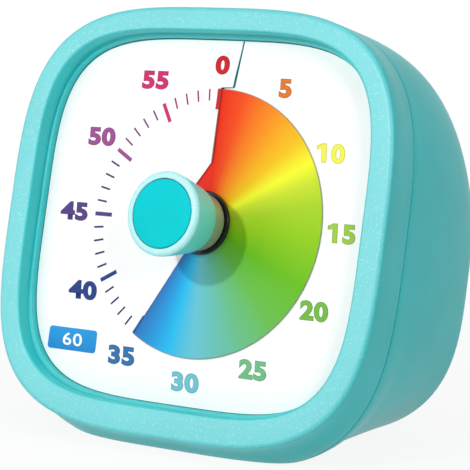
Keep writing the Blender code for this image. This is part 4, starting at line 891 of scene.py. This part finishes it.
def sliderPiece(name, node, body, x):
    rise, proud = back["switchRise"], rearFace - back["sliderProud"]
    inner = rearInside + 2 * gap + 1.5
    size = (back["sliderWidth"], back["sliderHeight"], 0.4)
    block = pad(name, *size, proud + 0.35, inner, (x, rise), 0.25, 4)
    ridge = pad("ridge", 0.5, 3.4, 0.22, proud, rearFace - 0.5, (0, 0), 0.2, 3)
    ridges = grown(copiesInRow, {"Count": 5, "Start": (x - 2.0, rise, 0), "Step": (1.0, 0, 0)}, ridge)
    mesh = toFace(joined(name, [block, ridges]))
    return addPiece(name, mesh, "whiteMoulding", body, [node])


doorPiece()
sliderPiece("loudness_slider", "volume_slider", "volume", -16.0)
sliderPiece("length_slider", "duration_slider", "duration", 16.0)
print("back pieces made")

card = {
    "hubRadius": 10.8, "notchTop": 19.3, "notchAngle": 52.0, "slitHalf": 0.23, "jog": 5.4, "jogMargin": 0.4,
    "jogLength": 0.4, "jogSpread": 25.0, "edgeShare": 0.2, "columns": 240, "outerRows": 15,
}


def dialPoint(angle, radius, height):
    return Vector((radius * sin(angle), radius * cos(angle), height))


# How far the card reaches from the hub at this angle, found by halving.
def cardReach(angle):
    half, bottom, top, power = windowOutline(-case["ledgeWidth"] - gap)
    low, high = 0.0, 2 * half
    while high - low > 0.0005:
        middle = (low + high) / 2
        x = stance["dialOffset"] + middle * sin(angle)
        y = middle * cos(angle) - (top + bottom) / 2
        inside = abs(x / half) ** power + abs(2 * y / (top - bottom)) ** power < 1
        low, high = (middle, high) if inside else (low, middle)
    return low


# The card's edge round the hub, which a straight cut opens towards the slit.
def cardInner(angle):
    notch = radians(card["notchAngle"])
    if tau - angle > notch:
        return card["hubRadius"]
    start = dialPoint(0, card["notchTop"], 0)
    along = dialPoint(-notch, card["hubRadius"], 0) - start
    return start.cross(along).z / dialPoint(angle, 1, 0).cross(along).z


# The card climbs one pitch of the disc in a turn, and less towards its outer edge.
def cardHeight(angle, radius):
    recess = case["recess"]
    share = blend(1, card["edgeShare"], ease((radius - recess) / (recess / 3)))
    return film["pitch"] * angle / tau * share


def jogAt(angle):
    return radians(card["jog"]) * (1 - ease(min(angle, tau - angle) / radians(card["jogSpread"])))


# The height of the card under a printed point. Left of the slit's outer part it still lies on the high flap.
def printHeight(x, y):
    angle, radius = atan2(x, y) % tau, hypot(x, y)
    if radius > film["rim"] + card["jogMargin"]:
        angle -= jogAt(angle)
    return cardHeight(angle % tau, radius)


def dialCard():
    jogStart = film["rim"] + card["jogMargin"]
    jogEnd = jogStart + card["jogLength"]
    half = radians(card["slitHalf"])
    bm = bmesh.new()
    columns = []
    for angle in span(half, tau - half, card["columns"]):
        outer = angle + jogAt(angle)
        rows = [(angle, radius) for radius in span(cardInner(angle), jogStart, 4)]
        rows += [(outer, radius) for radius in span(jogEnd, cardReach(outer), card["outerRows"])]
        columns.append([bm.verts.new(dialPoint(a, r, cardHeight(angle, r))) for a, r in rows])
    for first, second in zip(columns, columns[1:]):
        for i in range(len(first) - 1):
            bm.faces.new((first[i], second[i], second[i + 1], first[i + 1]))
    mesh = toDial(thickened(meshOf("dialCard", bm), cardThickness, -1))
    return addPiece("printed_card", mesh, "cardStock", "casing", ["dial_card"])


def discFilm():
    shown = radians(film["shown"])
    values = {name.title(): film[name] for name in ("bore", "rim", "lift", "pitch", "rows")}
    values.update({"Start": shown - tau + radians(film["cut"]), "End": shown, "Columns": film["columns"] + 1})
    mesh = toDial(thickened(grown(filmTurn, values), film["thickness"], 1))
    return addPiece("rainbow_disc", mesh, "rainbowFilm", "disc", ["colour_disc"])


dialCard()
discFilm()
print("card and disc made")

dialPrint = {
    "minorInner": 38.3, "majorInner": 35.45, "outer": 42.0, "minorWidth": 0.60, "majorWidth": 1.3,
    "zeroWidth": 1.2, "zeroAside": -0.75, "thickness": 0.02, "numeralHeight": 6.2, "spacing": 1.09,
    "bold": 0.056, "wide": 1.29, "narrowing": 0.0022, "lean": -0.09, "edge": 0.030, "lift": 0.03,
    "numerals": [
        (-1.0, 49.4), (22.5, 43.1), (41.6, 24.2), (48.8, 0.5), (42.8, -23.1), (24.2, -42.8), (0.5, -49.3),
        (-24.7, -43.7), (-43.1, -24.7), (-50.8, 0.2), (-43.7, 24.8), (-25.8, 43.8),
    ],
    "badgeMiddle": (-44.7, -40.7), "badgeSize": (19.2, 7.2), "badgeCorner": 1.1, "badgeNumeral": 4.6,
    "badgeLift": 0.05, "strip": 1.2,
}
printBack, printFront = -dialPrint["thickness"] / 2, dialPrint["thickness"] / 2


# Lays a flat print on the card and makes it a piece.
def addPrint(name, mesh, lift, ink):
    for vert in mesh.vertices:
        vert.co.z += printHeight(vert.co.x, vert.co.y) + lift
    return addPiece(name, toDial(mesh), ink, "casing")


def numeral(words, height, bold, at):
    curve = bpy.data.curves.new("numeral", "FONT")
    curve.body, curve.size = words, 1.0
    curve.align_x, curve.align_y = "CENTER", "CENTER"
    curve.offset, curve.extrude = bold, 0.01
    curve.space_character = dialPrint["spacing"]
    mesh = settled(looseObject(curve))
    bpy.data.curves.remove(curve)
    xs, ys = [v.co.x for v in mesh.vertices], [v.co.y for v in mesh.vertices]
    scale = height / 0.83
    wide = scale * (dialPrint["wide"] - dialPrint["narrowing"] * at[0])
    middleX, middleY = (min(xs) + max(xs)) / 2, (min(ys) + max(ys)) / 2
    for vert in mesh.vertices:
        across, rise = (vert.co.x - middleX) * wide, (vert.co.y - middleY) * scale
        depth = printFront if vert.co.z > 0 else printBack
        vert.co = (across + dialPrint["lean"] * rise + at[0], rise + at[1], depth)
    return flagged(mesh, bold * scale) if words[0] == "1" else mesh


# The built-in face's 1 is a bare stroke, so a leading one gets its flag here.
def flagged(mesh, spare):
    left, top = min(v.co.x for v in mesh.vertices), max(v.co.y for v in mesh.vertices)
    corners = [(0.9, 0.0), (0.9, -1.25 - spare), (-1.1 - spare, -1.65 - spare), (-1.1 - spare, -0.75)]
    flag = skin("flag", [[(left + x, top + y, z) for x, y in corners] for z in (printFront, printBack)])
    mesh = joined("numeral", [mesh, flag])
    for vert in mesh.vertices:
        vert.co.x += 0.7
    return mesh


def printedMarks():
    minor = {"Skip": 5, "Inner": dialPrint["minorInner"], "Width": dialPrint["minorWidth"]}
    major = {"Skip": 0, "Inner": dialPrint["majorInner"], "Width": dialPrint["majorWidth"], "Count": 12}
    zero = {**major, "Count": 1, "Width": dialPrint["zeroWidth"], "Aside": dialPrint["zeroAside"]}
    major["First"] = 1
    sizes = {"Count": 60, "Outer": dialPrint["outer"], "Thickness": dialPrint["thickness"]}
    minors, majors, zero = (grown(dialMarks, {**sizes, **values}) for values in (minor, major, zero))
    addPrint("minute_marks", minors, dialPrint["lift"], "darkInk")
    addPrint("five_minute_marks", joined("marks", [majors, zero]), dialPrint["lift"], "brightInk")


# Every numeral twice: a bolder one as a dark edge, and the face on it.
def printedNumerals():
    lift, bold = dialPrint["lift"], dialPrint["bold"]
    thin = bold - dialPrint["edge"]
    layers = (("numeral_edges", bold, lift, "edgeInk"), ("numeral_faces", thin, lift + 0.015, "brightInk"))
    for name, weight, height, ink in layers:
        meshes = []
        for step, at in enumerate(dialPrint["numerals"]):
            mesh = numeral(str(5 * step), dialPrint["numeralHeight"], weight, at)
            minute = mesh.attributes.new("minute", "FLOAT", "POINT")
            minute.data.foreach_set("value", [5 * step] * len(mesh.vertices))
            meshes.append(mesh)
        addPrint(name, joined(name, meshes), height, ink)


# Cuts a flat print into strips, so it can follow the card's climb.
def inStrips(mesh):
    width = dialPrint["strip"]
    bm = bmesh.new()
    bm.from_mesh(mesh)
    for axis in (0, 1):
        low, high = min(v.co[axis] for v in bm.verts), max(v.co[axis] for v in bm.verts)
        for step in range(1, int((high - low) / width) + 1):
            place, normal = Vector(), Vector()
            place[axis], normal[axis] = low + step * width, 1
            parts = [*bm.verts, *bm.edges, *bm.faces]
            bmesh.ops.bisect_plane(bm, geom=parts, plane_co=place, plane_no=normal, dist=1e-4)
    bm.to_mesh(mesh)
    bm.free()
    return mesh


def printedBadge():
    at, size, lift = dialPrint["badgeMiddle"], dialPrint["badgeSize"], dialPrint["badgeLift"]
    rings = [roundedBox(*size, dialPrint["badgeCorner"], z, at) for z in (printFront, printBack)]
    addPrint("badge", inStrips(skin("badge", rings)), lift, "badgeInk")
    number = inStrips(numeral("60", dialPrint["badgeNumeral"], 0.01, at))
    addPrint("badge_number", number, lift + 0.02, "whiteInk")


printedMarks()
printedNumerals()
printedBadge()
print("dial printed")

knob = {
    "ringBack": 1.7, "ringRadius": 10.0, "ringThickness": 1.0, "stemRadius": 8.9, "stemBack": 3.0,
    "stemTop": 20.4, "back": 10.1, "top": 24.0, "backRadius": 10.5, "rimRadius": 12.95, "rimRound": 1.3,
    "capRadius": 10.4, "capThickness": 0.9, "pocket": 1.3, "bore": 2.3, "webBack": 20.7, "swell": 0.12,
}


def knobPiece(name, node, profile, finish, closed=False):
    return addPiece(name, toDial(turn(name, profile, closed=closed)), finish, "knob", [node])


def knobPieces():
    k = knob
    bore, top, back, rimRadius = (k[name] for name in ("bore", "top", "back", "rimRadius"))
    pocket, pocketRadius, stemBore = top - k["pocket"], k["capRadius"] + gap, k["stemRadius"] + gap
    rimFoot = top - k["rimRound"]
    profile = [(0, pocket), (pocketRadius, pocket), *cornerArc(pocketRadius, top, 0.25, 180, 90, 4)]
    profile += cornerArc(rimRadius, top, k["rimRound"], 90, 10, 10)
    for t in span(0, 1, 8)[1:-1]:
        radius = blend(rimRadius - 0.02, k["backRadius"] + 0.06, t) + k["swell"] * sin(pi * t)
        profile.append((min(radius, rimRadius), blend(rimFoot, back + 0.4, t)))
    profile += cornerArc(k["backRadius"] + 0.05, back, 0.4, 0, -90, 5)
    profile += [(stemBore, back), (stemBore, k["webBack"]), (0, k["webBack"])]
    grip = knobPiece("knob_grip", "knob_body", profile, "mintKnob")
    # A painted highlight pales the knob's front rim: the value rises over the last 2.4 mm towards its front.
    toInner = dialPlace.inverted()
    heights = [(toInner @ vert.co).z / mm for vert in grip.data.vertices]
    wearAndSheenTone = grip.data.attributes.get("wearAndSheen") or grip.data.attributes.new("wearAndSheen", "FLOAT", "POINT")
    wearAndSheenTone.data.foreach_set("value", [ease((height - top + 2.4) / 1.8) for height in heights])
    capBack = pocket + gap
    capFront = capBack + k["capThickness"]
    side = k["capRadius"]
    profile = [(0, capFront), (side * 0.5, capFront), *cornerArc(side, capFront, 0.2, 90, 0, 4)]
    profile += [(side, capBack), (0, capBack)]
    knobPiece("knob_face", "knob_cap", profile, "cyanCap")
    profile = [(bore, k["stemTop"]), *cornerArc(k["stemRadius"], k["stemTop"], 0.25, 90, 0, 4)]
    profile += [*cornerArc(k["stemRadius"], k["stemBack"], 0.35, 0, -90, 5), (bore, k["stemBack"])]
    knobPiece("stem_sleeve", "knob_stem", profile, "turnedSteel", True)
    ringTop = k["ringBack"] + k["ringThickness"]
    profile = [(bore, ringTop), *cornerArc(k["ringRadius"], ringTop, 0.4, 90, 0, 6)]
    profile += [(k["ringRadius"], k["ringBack"]), (bore, k["ringBack"])]
    knobPiece("hub_washer", "hub_ring", profile, "blackGloss", True)


knobPieces()
print("knob made")

# The turns of the motor's coil, a stack of rounded loops of wire round a plain core.
coil = {"wire": 0.42, "turns": 34, "corner": 0.7, "bobbinHalf": (1.75, 0.6), "bobbinWall": 0.6}


def coilTurns():
    inverse = dialPlace.inverted()
    corners = [inverse @ Vector(v.co) / mm for v in frame["nodes"]["coil_winding"].data.vertices]
    spans = [(min(c[i] for c in corners), max(c[i] for c in corners)) for i in range(3)]
    (left, right), (bottom, top), (rear, front) = spans
    wire = coil["wire"]
    middle = ((left + right) / 2, (rear + front) / 2)

    def loop(width, depth, radius, rise):
        return [(x, rise, z) for x, z, _ in roundedBox(width, depth, radius, 0, middle, 3)]

    rings = []
    for step in range(8):
        angle = tau * step / 8
        shrink, rise = wire / 2 * (1 - cos(angle)), wire / 2 * sin(angle)
        rings.append(loop(right - left - 2 * shrink, front - rear - 2 * shrink, coil["corner"], rise))
    pitch = (top - bottom - wire) / (coil["turns"] - 1)
    values = {"Count": coil["turns"], "Start": (0, bottom + wire / 2, 0), "Step": (0, pitch, 0)}
    turns = grown(copiesInRow, values, skin("wire", rings, closed=True))
    outer = (right - left - 2 * wire, front - rear - 2 * wire, 0.5)
    hole = [2 * (half + gap + coil["bobbinWall"] + gap) for half in coil["bobbinHalf"]]
    low, high = bottom + 0.05, top - 0.05
    rings = [loop(*outer, low), loop(*outer, high), loop(*hole, 0.05, high), loop(*hole, 0.05, low)]
    mesh = joined("coil", [turns, skin("core", rings, closed=True)])
    addPiece("coil_turns", toDial(mesh), "enamelledCopper", "casing", ["coil_winding"])


coilTurns()
print("coil made")

# Finishes of the CAD pieces that stay.
stayingNodes = {
    "brassStock": ["spindle", "contact_leaf"],
    "whiteMoulding": ["output_wheel", "third_wheel", "second_wheel", "alarm_cam", "coil_bobbin"],
    "magnetSteel": ["rotor"],
    "siliconSteel": ["stator"],
    "blackMoulding": [
        "movement_case_front", "movement_case_rear", "volume_switch_body", "duration_switch_body", "sounder",
    ],
    "zincScrew": [name for name in frame["nodes"] if "_screw_" in name],
    "springSteel": ["contact_spring", "contact_plate_positive", "contact_plate_negative"],
    "cellSleeve": ["battery"],
    "solderMask": ["circuit_board"],
}
for finish, names in stayingNodes.items():
    for name in names:
        node = frame["nodes"][name]
        node.data.materials.clear()
        node.data.materials.append(finishes[finish])
print("remaining nodes finished")

# Camera, lamps, floor

view = {
    "place": (0.36498, -0.55157, 0.14980), "turn": (82.555, -0.437, 33.552), "lens": 161.09, "sensor": 36.0,
}


def addCamera():
    data = bpy.data.cameras.new("camera")
    data.lens, data.sensor_width = view["lens"], view["sensor"]
    data.clip_start, data.clip_end = 0.05, 50.0
    camera = looseObject(data)
    camera.location = view["place"]
    camera.rotation_euler = [radians(a) for a in view["turn"]]
    bpy.context.scene.camera = camera


# Each lamp is aimed at the dial: azimuth, elevation, distance and size in metres, power.
lamps = {
    "key": (-8.5, 27.5, 1.1, 0.05, 4.6),
    "leftWindow": (-36.0, 15.0, 1.2, 0.6, 2.9),
    "rightWindow": (56.0, 24.0, 1.3, 0.35, 4.4),
    "top": (0.0, 85.0, 1.2, 1.0, 4.0),
}


def addLamps():
    for name, (azimuth, elevation, distance, size, power) in lamps.items():
        data = bpy.data.lights.new(name, "AREA")
        data.energy, data.size = power, size
        lamp = looseObject(data)
        a, e = radians(azimuth), radians(elevation)
        away = Vector((sin(a) * cos(e), -cos(a) * cos(e), sin(e)))
        lamp.location = dialMiddle + away * distance
        lamp.rotation_euler = away.to_track_quat("Z", "Y").to_euler()


# The floor glows more where it is further from the middle, from one distance in metres to the other.
room = {
    "fill": 0.25, "floorColour": 0.86, "floorGlow": 0.90, "glowStart": 0.12, "glowEnd": 0.5, "floorHalf": 7.0,
}


def seenDirectly(nodes):
    path = nodes.add("ShaderNodeLightPath")
    outputs = path.socket.node.outputs
    names = ("Is Camera Ray", "Is Glossy Ray", "Is Transmission Ray")
    camera, glossy, through = (Port(nodes, outputs[name]) for name in names)
    return camera.math("MAXIMUM", glossy).math("MAXIMUM", through)


def addRoom():
    world = bpy.data.worlds.new("room")
    bpy.context.scene.world = world
    world.use_nodes = True
    world.node_tree.nodes.clear()
    nodes = NodeMaker(world.node_tree)
    strength = seenDirectly(nodes) * (1.0 - room["fill"]) + room["fill"]
    light = nodes.add("ShaderNodeBackground", {}, {"Color": white, "Strength": strength})
    nodes.add("ShaderNodeOutputWorld", {}, {"Surface": light})
    material, nodes = startFinish("paleFloor")
    mottle = nodes.grain(nodes.here(), 60.0, 2.0)
    shade = room["floorColour"]
    colour = nodes.tint((shade,) * 3, (shade * 0.99,) * 3, mottle)
    matt = nodes.add("ShaderNodeBsdfDiffuse", {}, {"Color": colour})
    glow = nodes.add("ShaderNodeEmission", {}, {"Color": white, "Strength": 1.0})
    away = nodes.add("ShaderNodeVectorMath", {"operation": "LENGTH"}, {0: nodes.here()}, "Value")
    share = nodes.between(away, room["glowStart"], room["glowEnd"], room["floorGlow"], 1.0)
    both = nodes.add("ShaderNodeMixShader", {}, {0: seenDirectly(nodes) * share, 1: matt, 2: glow})
    nodes.add("ShaderNodeOutputMaterial", {}, {"Surface": both})
    half = room["floorHalf"]
    mesh = bpy.data.meshes.new("floor")
    places = [(-half, -half, 0), (half, -half, 0), (half, half, 0), (-half, half, 0)]
    mesh.from_pydata(places, [], [(0, 1, 2, 3)])
    mesh.materials.append(material)
    floor = looseObject(mesh)


addCamera()
addLamps()
addRoom()
bpy.context.scene.view_settings.view_transform = "Standard"
print("stage set")
